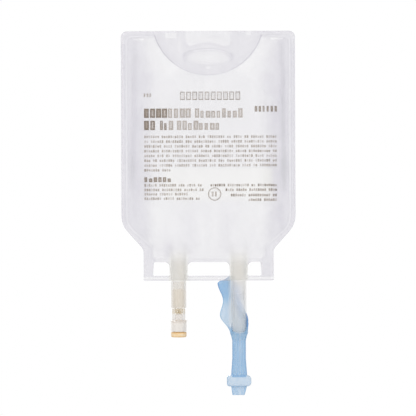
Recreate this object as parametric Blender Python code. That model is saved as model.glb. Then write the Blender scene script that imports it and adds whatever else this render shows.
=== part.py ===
"""Empty two-port infusion bag, hung by the slit in its top.

Sizes are in millimetres. +Z is up, the printed front faces -Y, and the origin is the middle of the
hanger slit's upper edge, where a hook bears. Depths are measured down from the bag's top edge, and
rises and heights up from the skirt's foot, or from a tube's lower end.
"""

import math

import bmesh
import bpy
from mathutils import Matrix, Vector

MM = 0.001
FIT_GAP = 0.3  # space kept between pieces that are welded, bonded or pushed together
EDGE_BREAK = 0.25  # small chamfer on turned edges

# Ports and the skirt that carries them
PORT_SPACING = 31.1
TUBE_RADIUS = 3.9
TUBE_WALL = 0.8
PORT_WEB = 0.3  # flat film beside a tube, next to a window
BAR_HEIGHT = 2.5  # the strip below the windows
WINDOW_HEIGHT = 7.1
LEFT_WINDOW_WIDTH = 8.4
RIGHT_WINDOW_WIDTH = 7.0
WINDOW_FLARE = 0.6  # how far a window's outer side leans in towards its top
WINDOW_SMALL_RADIUS = 0.8
WINDOW_LARGE_RADIUS = 2.6
POST_WIDTH = 4.8  # film beside the left window
SKIRT_HEIGHT = 16.2
SKIRT_RADIUS = 5.0
FOOT_RADIUS = 0.6

# Bag outline, the same for both films
BAG_WIDTH = 90.0
BAG_LENGTH = 129.0  # top edge to the foot of the skirt
TOP_CORNER_RADIUS = 3.0
SHOULDER_HEIGHT = 28.8  # above the foot, where the straight side would meet the slanted one
SHOULDER_RADIUS = 13.0

# Film and the liquid space that it encloses
FILM = 0.35
SIDE_WELD = 3.1
SKIRT_WELD = 4.9
FLOOR_SEAL = 1.6  # weld between a window and the liquid space
SLANT_RISE = 1.2  # the liquid space's slanted side ends this far above the skirt's top
POCKET_RADIUS = 2.5  # corners of the liquid space
SEAL_STEP = 0.05  # small step of the film at the weld's inner edge
PILLOW_RISE = 1.7  # how far each film stands off the weld in the middle of the empty bag
PILLOW_HEIGHT = 39.0  # above the foot, the level where the empty bag is fullest
# Each ring of the pillow: how far it has closed in on the middle, and its share of the full rise
PILLOW_RINGS = ((0.0, 0.0), (0.03, 0.34), (0.07, 0.58), (0.16, 0.82), (0.34, 0.96), (0.62, 1.0))

# Film round the tubes' inner ends
TUBE_REACH = 3.4  # of a tube into the liquid space
TENT_LENGTH = 20.0  # of the film's slope past the tube's inner end
TENT_SPREAD = 1.5  # how much wider the slope gets
TENT_END_RISE = 0.9
TENT_RINGS = 6

# Hanger
SEAL_ARC_RADIUS = 28.9
SEAL_ARC_DEPTH = 22.6  # lowest point of the round seal
SLIT_DEPTH = 9.5  # bag's top edge to the slit's upper edge
SLIT_WIDTH = 0.5
TONGUE_LENGTH = 24.0
TONGUE_HEIGHT = 8.2
TONGUE_END_DROP = 1.2  # below the tongue's widest level, where the slit's two ends stop

# Medication port: tube, sleeve and septum
MEDICATION_TUBE_DROP = 14.1  # below the foot
STEM_LENGTH = 10.0  # of the sleeve, inside the tube
STEM_WALL = 0.75
NECK_STEP = 0.55  # the neck is this much slimmer than the tube
NECK_LENGTH = 6.2
CUP_RADIUS = 4.0
CUP_DEPTH = 5.0
CUP_WALL = 0.75
FLANGE_LIP = 0.5
FLANGE_THICKNESS = 0.7
WEB = 0.5  # closes the sleeve's bore until a needle pierces it
WEB_CONE = 2.4
SEPTUM_HEAD = 2.6
SEPTUM_PLUG = 4.0
SEPTUM_ROUNDING = 0.7

# Administration port: tube and pierced membrane
ADMINISTRATION_TUBE_DROP = 27.1  # below the foot
TUBE_TAPER = 0.4  # how much slimmer the tube's end is, outside only
TUBE_TAPER_LENGTH = 12.0
MEMBRANE_RISE = 17.0  # above the tube's lower end
MEMBRANE_SKIRT = 4.0
MEMBRANE_WALL = 0.4
MEMBRANE_WEB = 0.35

# Port protector: a socket round the tube's end, a wing up behind it, and a ribbed stem with a grip
SHEATH_WALL = 0.85
SOCKET_HEIGHT = 5.0
SOCKET_FLARE = 0.35
SOCKET_STRAIGHT = 2.0  # of its height, before it flares
SOCKET_FLOOR = 0.4  # below the tube's end, where the sheath turns solid
LIP_HEIGHT = 0.4  # the socket's front edge, above the tube's end
LIP_SIDE_HEIGHT = 4.5  # where the front edge has climbed to the sides
STEM_THICKNESS = 3.2
STEM_HALF_WIDTH = 3.5
STEM_SPREAD = 0.7  # the stem is this much wider on each side at the grip
STEM_DROP = 22.0  # below the tube's end, where the grip bar starts
STEM_HALF_FLAT = 0.07  # shares of the drop where the stem is halfway to its flat section,
STEM_FLAT = 0.18  # where it is flat,
STEM_WIDENS = 0.6  # and where it starts to widen
STEM_SQUARENESS = 0.45  # how square the flat section's corners are
RIB_ZONE = 0.95  # share of the stem's width that is ribbed
RIB_COUNT = 5
RIB_HEIGHT = 0.22
GRIP_LENGTH = 12.6
GRIP_HEIGHT = 5.5
GRIP_DEPTH = 6.4
GRIP_ROUNDING = 1.3
GRIP_BEVEL = 0.7
TAIL_DROP = 4.6  # below the grip bar
TAIL_TAPER = 0.7
TAIL_THICKNESS = 2.2

# The wing is a curved sheet. Its heights are shares of its whole height above the socket's floor
WING_OVERLAP = 2.3  # above the skirt's foot, where it reaches up behind the strip
WING_WAIST = 8.2  # from the port's middle line to the hollows of its free edge
WING_TIP = 2.8  # how far its upper peak stands out past the waist
WING_HIP = 1.6  # the same for the lower peak
WING_PROFILE = ((1.0, "shoulder"), (0.875, "tip"), (0.565, "waist"), (0.31, "hip"), (0.0, "socket"))
WING_TURN = 0.8  # share of the wing's height in which its right edge comes round the tube
WING_TURN_DELAY = 2.6  # above 1, most of that turn comes low down
WING_CORNER_DROP = 2.4  # the top edge slopes down this far towards the free edge
WING_CORNER = 0.125  # share of the wing's height that this slope takes up
WING_CRADLE = 0.62  # share of the wing's width that lies round the tube
WING_BEND = 0.45  # how far the flare runs on straight before it bends outwards
WING_LEAVES = math.radians(150)  # directions round the tube, counted from +X
WING_RIGHT_TOP = math.radians(100)
WING_RIGHT_LOW = math.radians(-8)
WING_EASE = 6.0  # the cradle narrows from the film's width to the tube's in this length
WING_ROWS = 18
WING_COLUMNS = 14

BLANK_MARGIN = 1.0  # spare film round the bag's outline before it is cut out
ROUND_STEPS = 24
STEM_STEPS = 48
ARC_STEP = math.radians(12)


def level(depth):
    """Height of a point this far below the bag's top edge."""
    return SLIT_DEPTH - depth


def above_foot(rise):
    """Height of a point this far above the skirt's lower edge."""
    return level(BAG_LENGTH - rise)


def above_tip(rise):
    """Height of a point this far above the administration tube's lower end."""
    return ADMINISTRATION_TUBE_END + rise


TOP = level(0)
FOOT = above_foot(0)
LEFT_PORT_X = -PORT_SPACING / 2
RIGHT_PORT_X = PORT_SPACING / 2
PORTS_X = (LEFT_PORT_X, RIGHT_PORT_X)
TUBE_BORE_RADIUS = TUBE_RADIUS - TUBE_WALL
TUBE_TIP_RADIUS = TUBE_RADIUS - TUBE_TAPER
CHANNEL_RADIUS = TUBE_RADIUS + FIT_GAP  # inside of the film that wraps a tube
WRAP_RADIUS = CHANNEL_RADIUS + FILM
COLUMN_HALF_WIDTH = WRAP_RADIUS + PORT_WEB
SKIRT_HALF_WIDTH = RIGHT_PORT_X + COLUMN_HALF_WIDTH + LEFT_WINDOW_WIDTH + POST_WIDTH
WINDOW_TOP = BAR_HEIGHT + WINDOW_HEIGHT
FLOOR_HEIGHT = WINDOW_TOP + FLOOR_SEAL
TUBE_INNER_END = above_foot(FLOOR_HEIGHT + TUBE_REACH)
MEDICATION_TUBE_END = FOOT - MEDICATION_TUBE_DROP
ADMINISTRATION_TUBE_END = FOOT - ADMINISTRATION_TUBE_DROP
WELD_FACE = FIT_GAP / 2  # how far each film's weld stands off the middle plane
SKIRT_BACK = WELD_FACE + FILM
SKIRT_CLEARANCE = 3 * FIT_GAP  # the wing's cradle widens this far below the foot
WING_HEIGHT = ADMINISTRATION_TUBE_DROP + WING_OVERLAP
GRIP_TOP = above_tip(-STEM_DROP)
CUT_REACH = 3 * TUBE_RADIUS  # how far cutters run out on each side of the middle plane


def clear_scene():
    for obj in list(bpy.data.objects):
        bpy.data.objects.remove(obj, do_unlink=True)


def material(name, colour, roughness, alpha=1.0):
    made = bpy.data.materials.new(name)
    made.use_nodes = True
    shader = made.node_tree.nodes["Principled BSDF"]
    shader.inputs["Base Color"].default_value = (*colour, 1.0)
    shader.inputs["Roughness"].default_value = roughness
    shader.inputs["Metallic"].default_value = 0.0
    shader.inputs["Alpha"].default_value = alpha
    return made


def new_object(name, bm, finish=None):
    """Turns a bmesh in millimetres into an object in metres, with each bent face split flat."""
    bmesh.ops.connect_verts_nonplanar(bm, angle_limit=1e-5, faces=bm.faces)
    bmesh.ops.recalc_face_normals(bm, faces=bm.faces)
    bmesh.ops.scale(bm, vec=(MM, MM, MM), verts=bm.verts)
    mesh = bpy.data.meshes.new(name)
    bm.to_mesh(mesh)
    bm.free()
    mesh.shade_smooth()
    mesh.set_sharp_from_angle(angle=math.radians(40))
    obj = bpy.data.objects.new(name, mesh)
    if finish:
        mesh.materials.append(finish)
    bpy.context.scene.collection.objects.link(obj)
    return obj


def as_helper(obj):
    """A cutter or an added shape: drawn as wire and left out of the model."""
    obj.hide_render = True
    obj.display_type = "WIRE"
    return obj


def combine(obj, other, operation):
    boolean = obj.modifiers.new(f"{operation.lower()}_{other.name}", "BOOLEAN")
    boolean.operation = operation
    boolean.solver = "EXACT"
    boolean.object = as_helper(other)


def add(obj, *others):
    for other in others:
        combine(obj, other, "UNION")


def cut(obj, *others):
    for other in others:
        combine(obj, other, "DIFFERENCE")


def filleted(corners):
    """Closed outline through (x, z, radius) corners, each rounded by an arc that touches both sides."""
    points = []
    for i, (x, z, radius) in enumerate(corners):
        here = Vector((x, z))
        before = (Vector(corners[i - 1][:2]) - here).normalized()
        after = (Vector(corners[(i + 1) % len(corners)][:2]) - here).normalized()
        if radius == 0:
            points.append(here)
            continue
        half = before.angle(after) / 2
        centre = here + (before + after).normalized() * radius / math.sin(half)
        start = here + before * radius / math.tan(half) - centre
        sweep = math.pi - 2 * half
        turn = 1 if before.cross(start) > 0 else -1
        steps = max(2, round(sweep / ARC_STEP))
        for k in range(steps + 1):
            points.append(centre + Matrix.Rotation(turn * sweep * k / steps, 2) @ start)
    return points


def mirrored(half_outline):
    """Outline whose right half, top to bottom, is given as corners."""
    return half_outline + [(-x, z, radius) for x, z, radius in reversed(half_outline)]


def loft(name, loops, finish=None):
    """Skin over closed loops of equal count, with both ends capped."""
    bm = bmesh.new()
    rings = [[bm.verts.new(point) for point in loop] for loop in loops]
    for ring in (rings[0], rings[-1]):
        bm.faces.new(ring)
    for upper, lower in zip(rings, rings[1:]):
        for i in range(len(upper)):
            j = (i + 1) % len(upper)
            bm.faces.new((upper[i], upper[j], lower[j], lower[i]))
    return new_object(name, bm, finish)


def prism(name, outline, y_low, y_high, finish=None):
    """An (x, z) outline made solid from y_low to y_high."""
    return loft(name, [[(x, y, z) for x, z in outline] for y in (y_low, y_high)], finish)


def block(name, low, high):
    bm = bmesh.new()
    bmesh.ops.create_cube(bm, size=1.0)
    bmesh.ops.scale(bm, vec=[b - a for a, b in zip(low, high)], verts=bm.verts)
    bmesh.ops.translate(bm, vec=[(a + b) / 2 for a, b in zip(low, high)], verts=bm.verts)
    return new_object(name, bm)


def turned(name, profile, x, finish=None, closed=False):
    """Spins (radius, z) points round the upright line at x. A closed profile makes a hollow ring."""
    bm = bmesh.new()
    points = [bm.verts.new((x + radius, 0, z)) for radius, z in profile]
    edges = [bm.edges.new(pair) for pair in zip(points, points[1:])]
    if closed:
        edges.append(bm.edges.new((points[-1], points[0])))
    bmesh.ops.spin(
        bm,
        geom=points + edges,
        cent=(x, 0, 0),
        axis=(0, 0, 1),
        angle=math.tau,
        steps=ROUND_STEPS,
        use_merge=True,
    )
    bmesh.ops.remove_doubles(bm, verts=bm.verts, dist=1e-4)
    return new_object(name, bm, finish)


def bag_outline():
    half_width = BAG_WIDTH / 2
    return filleted(
        mirrored(
            [
                (half_width, TOP, TOP_CORNER_RADIUS),
                (half_width, above_foot(SHOULDER_HEIGHT), SHOULDER_RADIUS),
                (SKIRT_HALF_WIDTH, above_foot(SKIRT_HEIGHT), SKIRT_RADIUS),
                (SKIRT_HALF_WIDTH, FOOT, FOOT_RADIUS),
            ]
        )
    )


def liquid_outline():
    """Inner edge of the weld: straight sides, a slanted bottom and the round seal below the hanger."""
    side = BAG_WIDTH / 2 - SIDE_WELD
    floor_side = SKIRT_HALF_WIDTH - SKIRT_WELD
    ceiling = TOP - SIDE_WELD
    centre = level(SEAL_ARC_DEPTH - SEAL_ARC_RADIUS)
    half_chord = math.sqrt(SEAL_ARC_RADIUS**2 - (centre - ceiling) ** 2)
    half_sweep = math.asin(half_chord / SEAL_ARC_RADIUS)
    right = filleted(
        [
            (half_chord, ceiling, 0),
            (side, ceiling, POCKET_RADIUS),
            (side, above_foot(SHOULDER_HEIGHT), SHOULDER_RADIUS - SIDE_WELD),
            (floor_side, above_foot(SKIRT_HEIGHT + SLANT_RISE), POCKET_RADIUS),
            (floor_side, above_foot(FLOOR_HEIGHT), POCKET_RADIUS),
            (0, above_foot(FLOOR_HEIGHT), 0),
        ]
    )
    left = [Vector((-p.x, p.y)) for p in reversed(right[:-1])]
    steps = 2 * round(half_sweep / ARC_STEP)
    arc = []
    for k in range(1, steps):
        angle = half_sweep * (2 * k / steps - 1)
        spot = Vector((math.sin(angle), -math.cos(angle))) * SEAL_ARC_RADIUS
        arc.append(Vector((0, centre)) + spot)
    return right + left + arc


def pillow(name, side, outwards, base_y):
    """Solid under one face of a film's pillow. side is -1 for the front film and 1 for the back one."""
    outline = liquid_outline()
    middle = Vector((0, above_foot(PILLOW_HEIGHT)))
    loops = []
    for closing, share in PILLOW_RINGS:
        rise = WELD_FACE + SEAL_STEP + outwards + share * PILLOW_RISE
        loop = []
        for point in outline:
            arm = point - middle
            reach = arm.length * (1 - closing) + (outwards if closing == 0 else 0)
            spot = middle + arm.normalized() * reach
            loop.append((spot.x, side * rise, spot.y))
        loops.append(loop)
    loops.insert(0, [(x, -side * base_y, z) for x, _, z in loops[0]])
    return loft(name, loops)


def ellipse(x, z, half_width, half_depth):
    loop = []
    for k in range(ROUND_STEPS):
        angle = math.tau * k / ROUND_STEPS
        loop.append((x + half_width * math.cos(angle), half_depth * math.sin(angle), z))
    return loop


def channel(name, x, outwards, lowest):
    """Round passage for a tube, with the film's slope past the tube's inner end."""
    radius = CHANNEL_RADIUS + outwards
    tip = TUBE_INNER_END + FIT_GAP
    rings = [ellipse(x, lowest, radius, radius), ellipse(x, tip, radius, radius)]
    for k in range(1, TENT_RINGS + 1):
        share = k / TENT_RINGS
        settling = (1 - math.cos(math.pi * share)) / 2
        half_width = radius * (1 + (TENT_SPREAD - 1) * share)
        half_depth = radius + (TENT_END_RISE + outwards - radius) * settling
        rings.append(ellipse(x, tip + TENT_LENGTH * share, half_width, half_depth))
    return loft(name, rings)


def window(name, left, right, lean_left, lean_right, upper_left, upper_right):
    """Opening in the skirt. Its sides lean in towards the top, and the radii are of its upper corners."""
    top = above_foot(WINDOW_TOP)
    bottom = above_foot(BAR_HEIGHT)
    outline = filleted(
        [
            (left + lean_left, top, upper_left),
            (right - lean_right, top, upper_right),
            (right, bottom, WINDOW_SMALL_RADIUS),
            (left, bottom, WINDOW_SMALL_RADIUS),
        ]
    )
    return prism(name, outline, -CUT_REACH, CUT_REACH)


def skirt_windows():
    small, large = WINDOW_SMALL_RADIUS, WINDOW_LARGE_RADIUS
    inner = RIGHT_PORT_X - COLUMN_HALF_WIDTH
    outer = RIGHT_PORT_X + COLUMN_HALF_WIDTH
    left, right = -outer - LEFT_WINDOW_WIDTH, outer + RIGHT_WINDOW_WIDTH
    return [
        window("left_window_cutter", left, -outer, WINDOW_FLARE, 0, small, large),
        window("middle_window_cutter", -inner, inner, 0, 0, large, large),
        window("right_window_cutter", outer, right, 0, WINDOW_FLARE, large, small),
    ]


def hanger_slit():
    """Cut along the top and both ends of the tongue, which stays joined to the film along its foot."""
    half_length, half_height = TONGUE_LENGTH / 2, TONGUE_HEIGHT / 2
    past_end = math.asin(TONGUE_END_DROP / half_height)
    edges = []
    for inset in (0, SLIT_WIDTH):
        edge = []
        for k in range(ROUND_STEPS + 1):
            angle = -past_end + (math.pi + 2 * past_end) * k / ROUND_STEPS
            x = (half_length - inset) * math.cos(angle)
            edge.append((x, (half_height - inset) * math.sin(angle) - half_height))
        edges.append(edge)
    return prism("slit_cutter", edges[0] + edges[1][::-1], -CUT_REACH, CUT_REACH)


def formed_space(name, side, outwards, margin):
    """The liquid space and both tube passages as one solid, grown outwards by a film's thickness."""
    space = pillow(f"{name}_pillow", side, outwards, margin)
    for label, x in zip(("left", "right"), PORTS_X):
        add(space, channel(f"{name}_{label}_passage", x, outwards, FOOT - margin))
    return space


def film_sheet(name, side, finish, die, openings):
    """One film: the flat weld, the pillow over the liquid space and a half pipe over each tube.

    The blank is formed larger than the bag and its far side is uneven. The die then cuts the bag's
    outline, and the last cut leaves the weld's face flat.
    """
    reach = BAG_WIDTH / 2 + BLANK_MARGIN
    bottom, top = FOOT - BLANK_MARGIN, TOP + BLANK_MARGIN
    flat = sorted((-side * BLANK_MARGIN, side * (WELD_FACE + FILM)))
    blank = [(-reach, bottom), (reach, bottom), (reach, top), (-reach, top)]
    sheet = prism(name, blank, flat[0], flat[1], finish)
    add(sheet, formed_space(f"{name}_outside", side, FILM - SEAL_STEP / 2, BLANK_MARGIN / 2))
    combine(sheet, die, "INTERSECT")
    cut(sheet, *openings)
    cut(sheet, formed_space(f"{name}_inside", side, 0, 2 * BLANK_MARGIN))
    trim = sorted((side * WELD_FACE, -side * CUT_REACH))
    low = (-BAG_WIDTH, trim[0], FOOT - BAG_LENGTH)
    high = (BAG_WIDTH, trim[1], TOP + BAG_LENGTH)
    cut(sheet, block(f"{name}_trim", low, high))
    return sheet


def medication_tube(finish):
    profile = [
        (TUBE_BORE_RADIUS, TUBE_INNER_END),
        (TUBE_RADIUS, TUBE_INNER_END),
        (TUBE_RADIUS, MEDICATION_TUBE_END + EDGE_BREAK),
        (TUBE_RADIUS - EDGE_BREAK, MEDICATION_TUBE_END),
        (TUBE_BORE_RADIUS, MEDICATION_TUBE_END),
    ]
    return turned("medication_port_tube", profile, LEFT_PORT_X, finish, closed=True)


def sleeve_levels():
    """Heights of the neck's top, the flange's top, the cup's top and the cup's rim."""
    neck_top = MEDICATION_TUBE_END - FIT_GAP
    flange_top = neck_top - NECK_LENGTH
    cup_top = flange_top - FLANGE_THICKNESS
    return neck_top, flange_top, cup_top, cup_top - CUP_DEPTH


def injection_sleeve(finish):
    """Turned sleeve: stem, neck, thin flange and cup, with a cone-shaped web that closes its bore."""
    neck_top, flange_top, cup_top, cup_rim = sleeve_levels()
    stem_top = neck_top + STEM_LENGTH
    stem_radius = TUBE_BORE_RADIUS - FIT_GAP
    stem_bore = stem_radius - STEM_WALL
    neck_radius = TUBE_RADIUS - NECK_STEP
    cup_bore = CUP_RADIUS - CUP_WALL
    web_peak = neck_top - WEB
    web_foot = web_peak - WEB_CONE
    profile = [
        (0, web_peak),
        (stem_bore, web_foot),
        (stem_bore, stem_top),
        (stem_radius - EDGE_BREAK, stem_top),
        (stem_radius, stem_top - EDGE_BREAK),
        (stem_radius, neck_top),
        (neck_radius, neck_top),
        (neck_radius, flange_top + EDGE_BREAK),
        (CUP_RADIUS + FLANGE_LIP, flange_top),
        (CUP_RADIUS, cup_top),
        (CUP_RADIUS, cup_rim),
        (cup_bore, cup_rim),
        (cup_bore, cup_top),
        (stem_bore, flange_top),
        (stem_bore, web_foot - WEB),
        (0, web_peak - WEB),
    ]
    return turned("injection_site_sleeve", profile, LEFT_PORT_X, finish)


def septum(finish):
    """Rubber stopper: a plug held in the cup and a flat head that covers the cup's rim."""
    cup_rim = sleeve_levels()[3]
    plug_radius = CUP_RADIUS - CUP_WALL - FIT_GAP
    plug_top = cup_rim + SEPTUM_PLUG
    head_top = cup_rim - FIT_GAP
    head_end = head_top - SEPTUM_HEAD
    corner = Vector((CUP_RADIUS - SEPTUM_ROUNDING, head_end + SEPTUM_ROUNDING))
    profile = [(0, plug_top), (plug_radius, plug_top), (plug_radius, head_top), (CUP_RADIUS, head_top)]
    steps = 4
    for k in range(steps + 1):
        angle = math.pi / 2 * k / steps
        profile.append(tuple(corner + Vector((math.cos(angle), -math.sin(angle))) * SEPTUM_ROUNDING))
    profile.append((0, head_end))
    return turned("injection_septum", profile, LEFT_PORT_X, finish)


def tube_radius_at(z):
    """Outside of the administration tube, which narrows towards its end."""
    share = (above_tip(TUBE_TAPER_LENGTH) - z) / TUBE_TAPER_LENGTH
    return TUBE_RADIUS - TUBE_TAPER * min(1, max(0, share))


def administration_tube(finish):
    profile = [
        (TUBE_BORE_RADIUS, TUBE_INNER_END),
        (TUBE_RADIUS, TUBE_INNER_END),
        (TUBE_RADIUS, above_tip(TUBE_TAPER_LENGTH)),
        (TUBE_TIP_RADIUS, ADMINISTRATION_TUBE_END),
        (TUBE_BORE_RADIUS, ADMINISTRATION_TUBE_END),
    ]
    return turned("administration_port_tube", profile, RIGHT_PORT_X, finish, closed=True)


def port_membrane(finish):
    """Thin cup across the administration tube's bore, pierced by the giving set's spike."""
    outer = TUBE_BORE_RADIUS - FIT_GAP
    inner = outer - MEMBRANE_WALL
    rim = above_tip(MEMBRANE_RISE)
    top = rim + MEMBRANE_SKIRT
    web = top - MEMBRANE_WEB
    profile = [(0, top), (outer, top), (outer, rim), (inner, rim), (inner, web), (0, web)]
    return turned("port_membrane", profile, RIGHT_PORT_X, finish)


def cradle_radius(z):
    """The wing's inside clears the tube, and the film round the tube where it is beside that film."""
    wide = WRAP_RADIUS + FIT_GAP
    hugging = tube_radius_at(z) + FIT_GAP
    below_skirt = (FOOT - SKIRT_CLEARANCE - z) / WING_EASE
    return wide + (hugging - wide) * min(1, max(0, below_skirt))


def eased(share):
    """Slow at both ends between 0 and 1, and held outside them."""
    share = min(1, max(0, share))
    return share * share * (3 - 2 * share)


def wing_edge(share):
    """Distance of the wing's free edge from the port's middle line, in smooth waves down its height."""
    reach = {
        "shoulder": WING_WAIST + WING_HIP,
        "tip": WING_WAIST + WING_TIP,
        "waist": WING_WAIST,
        "hip": WING_WAIST + WING_HIP,
        "socket": TUBE_TIP_RADIUS + FIT_GAP + SHEATH_WALL,
    }
    for (high, upper), (low, lower) in zip(WING_PROFILE, WING_PROFILE[1:]):
        if share >= low:
            return reach[upper] + (reach[lower] - reach[upper]) * eased((high - share) / (high - low))
    return reach["socket"]


def wing_point(column, row):
    """Middle of the wing's wall: round the back of the tube, then out to the free edge."""
    across = column / (WING_COLUMNS - 1)
    down = row / (WING_ROWS - 1)
    turned_share = min(1, down / WING_TURN) ** WING_TURN_DELAY
    right_end = WING_RIGHT_TOP + (WING_RIGHT_LOW - WING_RIGHT_TOP) * turned_share
    z = above_tip(WING_HEIGHT * (1 - down))
    radius = cradle_radius(z) + SHEATH_WALL / 2
    if across < WING_CRADLE:
        angle = right_end + (WING_LEAVES - right_end) * across / WING_CRADLE
        return (RIGHT_PORT_X + radius * math.cos(angle), radius * math.sin(angle), z)
    share = (across - WING_CRADLE) / (1 - WING_CRADLE)
    start = Vector((math.cos(WING_LEAVES), math.sin(WING_LEAVES))) * radius
    tangent = Vector((-start.y, start.x)).normalized()
    end = Vector((-wing_edge(1 - down), SKIRT_BACK + FIT_GAP + SHEATH_WALL / 2))
    bend = start + tangent * (end - start).length * WING_BEND
    spot = start * (1 - share) ** 2 + bend * 2 * share * (1 - share) + end * share**2
    corner = WING_CORNER_DROP * eased(share) * max(0, 1 - down / WING_CORNER)
    return (RIGHT_PORT_X + spot.x, spot.y, z - corner)


def wing():
    """Curved sheet that cradles the tube from behind and flares to the left."""
    bm = bmesh.new()
    grid = [[bm.verts.new(wing_point(c, r)) for c in range(WING_COLUMNS)] for r in range(WING_ROWS)]
    for upper, lower in zip(grid, grid[1:]):
        for c in range(WING_COLUMNS - 1):
            bm.faces.new((upper[c], upper[c + 1], lower[c + 1], lower[c]))
    obj = new_object("protector_wing", bm)
    thick = obj.modifiers.new("wall", "SOLIDIFY")
    thick.thickness = SHEATH_WALL * MM
    thick.offset = 0
    return obj


def stem_section(z, half_width, half_depth, flatness):
    """Closed loop across the sheath: round where flatness is 0, a flat ribbed bar where it is 1."""
    loop = []
    for k in range(STEM_STEPS):
        angle = math.tau * k / STEM_STEPS
        power = 1 - STEM_SQUARENESS * flatness
        across = math.copysign(abs(math.cos(angle)) ** power, math.cos(angle))
        depth = half_depth * abs(math.sin(angle)) ** power
        if abs(across) < RIB_ZONE:
            depth += RIB_HEIGHT * flatness * math.cos(math.pi * RIB_COUNT * across)
        loop.append((RIGHT_PORT_X + half_width * across, math.copysign(depth, math.sin(angle)), z))
    return loop


def protector_stem(finish):
    """Socket wall and stem in one skin, from round at the tube's end to a flat ribbed bar."""
    socket = TUBE_TIP_RADIUS + FIT_GAP + SHEATH_WALL
    flared = socket + SOCKET_FLARE
    half = STEM_THICKNESS / 2
    waist = STEM_HALF_WIDTH
    foot = STEM_HALF_WIDTH + STEM_SPREAD
    sections = [
        (above_tip(SOCKET_HEIGHT), flared, flared, 0),
        (above_tip(SOCKET_STRAIGHT), socket, socket, 0),
        (above_tip(0), socket, socket, 0),
        (above_tip(-STEM_DROP * STEM_HALF_FLAT), (socket + waist) / 2, (socket + half) / 2, 0.5),
        (above_tip(-STEM_DROP * STEM_FLAT), waist, half, 1),
        (above_tip(-STEM_DROP * STEM_WIDENS), waist, half, 1),
        (GRIP_TOP - GRIP_BEVEL, foot, half, 1),
    ]
    return loft("port_protector", [stem_section(*section) for section in sections], finish)


def grip_bar():
    """Rounded bar across the stem, where fingers pull. Its right end is the rounder one."""
    left, right = RIGHT_PORT_X - GRIP_LENGTH / 2, RIGHT_PORT_X + GRIP_LENGTH / 2
    bottom = GRIP_TOP - GRIP_HEIGHT
    outline = filleted(
        [
            (left, GRIP_TOP, GRIP_ROUNDING),
            (right, GRIP_TOP, 2 * GRIP_ROUNDING),
            (right, bottom, 2 * GRIP_ROUNDING),
            (left, bottom, GRIP_ROUNDING),
        ]
    )
    bar = prism("protector_grip", outline, -GRIP_DEPTH / 2, GRIP_DEPTH / 2)
    edge = bar.modifiers.new("edge", "BEVEL")
    edge.width = GRIP_BEVEL * MM
    edge.segments = 2
    edge.limit_method = "ANGLE"
    return bar


def tail():
    """Flat end below the grip bar."""
    top = GRIP_TOP - GRIP_HEIGHT + GRIP_BEVEL
    bottom = GRIP_TOP - GRIP_HEIGHT - TAIL_DROP
    half_width = STEM_HALF_WIDTH + STEM_SPREAD
    outline = filleted(
        [
            (RIGHT_PORT_X - half_width, top, 0),
            (RIGHT_PORT_X + half_width, top, 0),
            (RIGHT_PORT_X + half_width - 2 * TAIL_TAPER, bottom, EDGE_BREAK),
            (RIGHT_PORT_X - half_width + TAIL_TAPER, bottom, EDGE_BREAK),
        ]
    )
    return prism("protector_tail", outline, -TAIL_THICKNESS / 2, TAIL_THICKNESS / 2)


def socket_bore():
    """Space in the sheath for the tube's tapered end."""
    top = above_tip(2 * SOCKET_HEIGHT)
    floor = above_tip(-SOCKET_FLOOR)
    profile = [(0, top), (tube_radius_at(top) + FIT_GAP, top), (TUBE_TIP_RADIUS + FIT_GAP, floor), (0, floor)]
    return turned("socket_bore", profile, RIGHT_PORT_X)


def scoop():
    """Opens the front of the sheath, so that the tube shows down to its end above a curved lip."""
    front = TUBE_TIP_RADIUS + FIT_GAP + SHEATH_WALL
    steps = 5
    side_view = [(-CUT_REACH, above_tip(2 * SOCKET_HEIGHT)), (-EDGE_BREAK, above_tip(2 * SOCKET_HEIGHT))]
    for k in range(steps + 1):
        angle = math.pi / 2 * k / steps
        rise = LIP_SIDE_HEIGHT - (LIP_SIDE_HEIGHT - LIP_HEIGHT) * math.sin(angle)
        side_view.append((-EDGE_BREAK - (front - EDGE_BREAK) * (1 - math.cos(angle)), above_tip(rise)))
    side_view.append((-CUT_REACH, above_tip(LIP_HEIGHT)))
    ends = (RIGHT_PORT_X - CUT_REACH, RIGHT_PORT_X + CUT_REACH)
    return loft("scoop_cutter", [[(x, y, z) for y, z in side_view] for x in ends])


def port_protector(finish):
    body = protector_stem(finish)
    cut(body, socket_bore(), scoop())
    add(body, wing(), grip_bar(), tail())
    return body


def main():
    clear_scene()
    film = material("frosted_film", (0.86, 0.86, 0.90), 0.35, 0.55)
    tube = material("clear_tube", (0.84, 0.82, 0.76), 0.3, 0.7)
    clear = material("clear_sleeve", (0.88, 0.83, 0.78), 0.25, 0.6)
    rubber = material("tan_rubber", (0.86, 0.55, 0.22), 0.6)
    blue = material("blue_sheath", (0.25, 0.50, 0.78), 0.35, 0.9)
    openings = skirt_windows() + [hanger_slit()]
    die = prism("outline_die", bag_outline(), -CUT_REACH, CUT_REACH)
    film_sheet("bag_front_film", -1, film, die, openings)
    film_sheet("bag_back_film", 1, film, die, openings)
    medication_tube(tube)
    injection_sleeve(clear)
    septum(rubber)
    administration_tube(tube)
    port_membrane(tube)
    port_protector(blue)


main()
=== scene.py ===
"""Looks of an empty infusion bag with two ports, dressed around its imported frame.

Lengths in the sections are millimetres in the frame's axes: +X right, +Z up, the print facing -Y.
"""

import math

import bmesh
import bpy
import numpy as np
from mathutils import Matrix, Vector, geometry, kdtree
from mathutils.bvhtree import BVHTree


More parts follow.
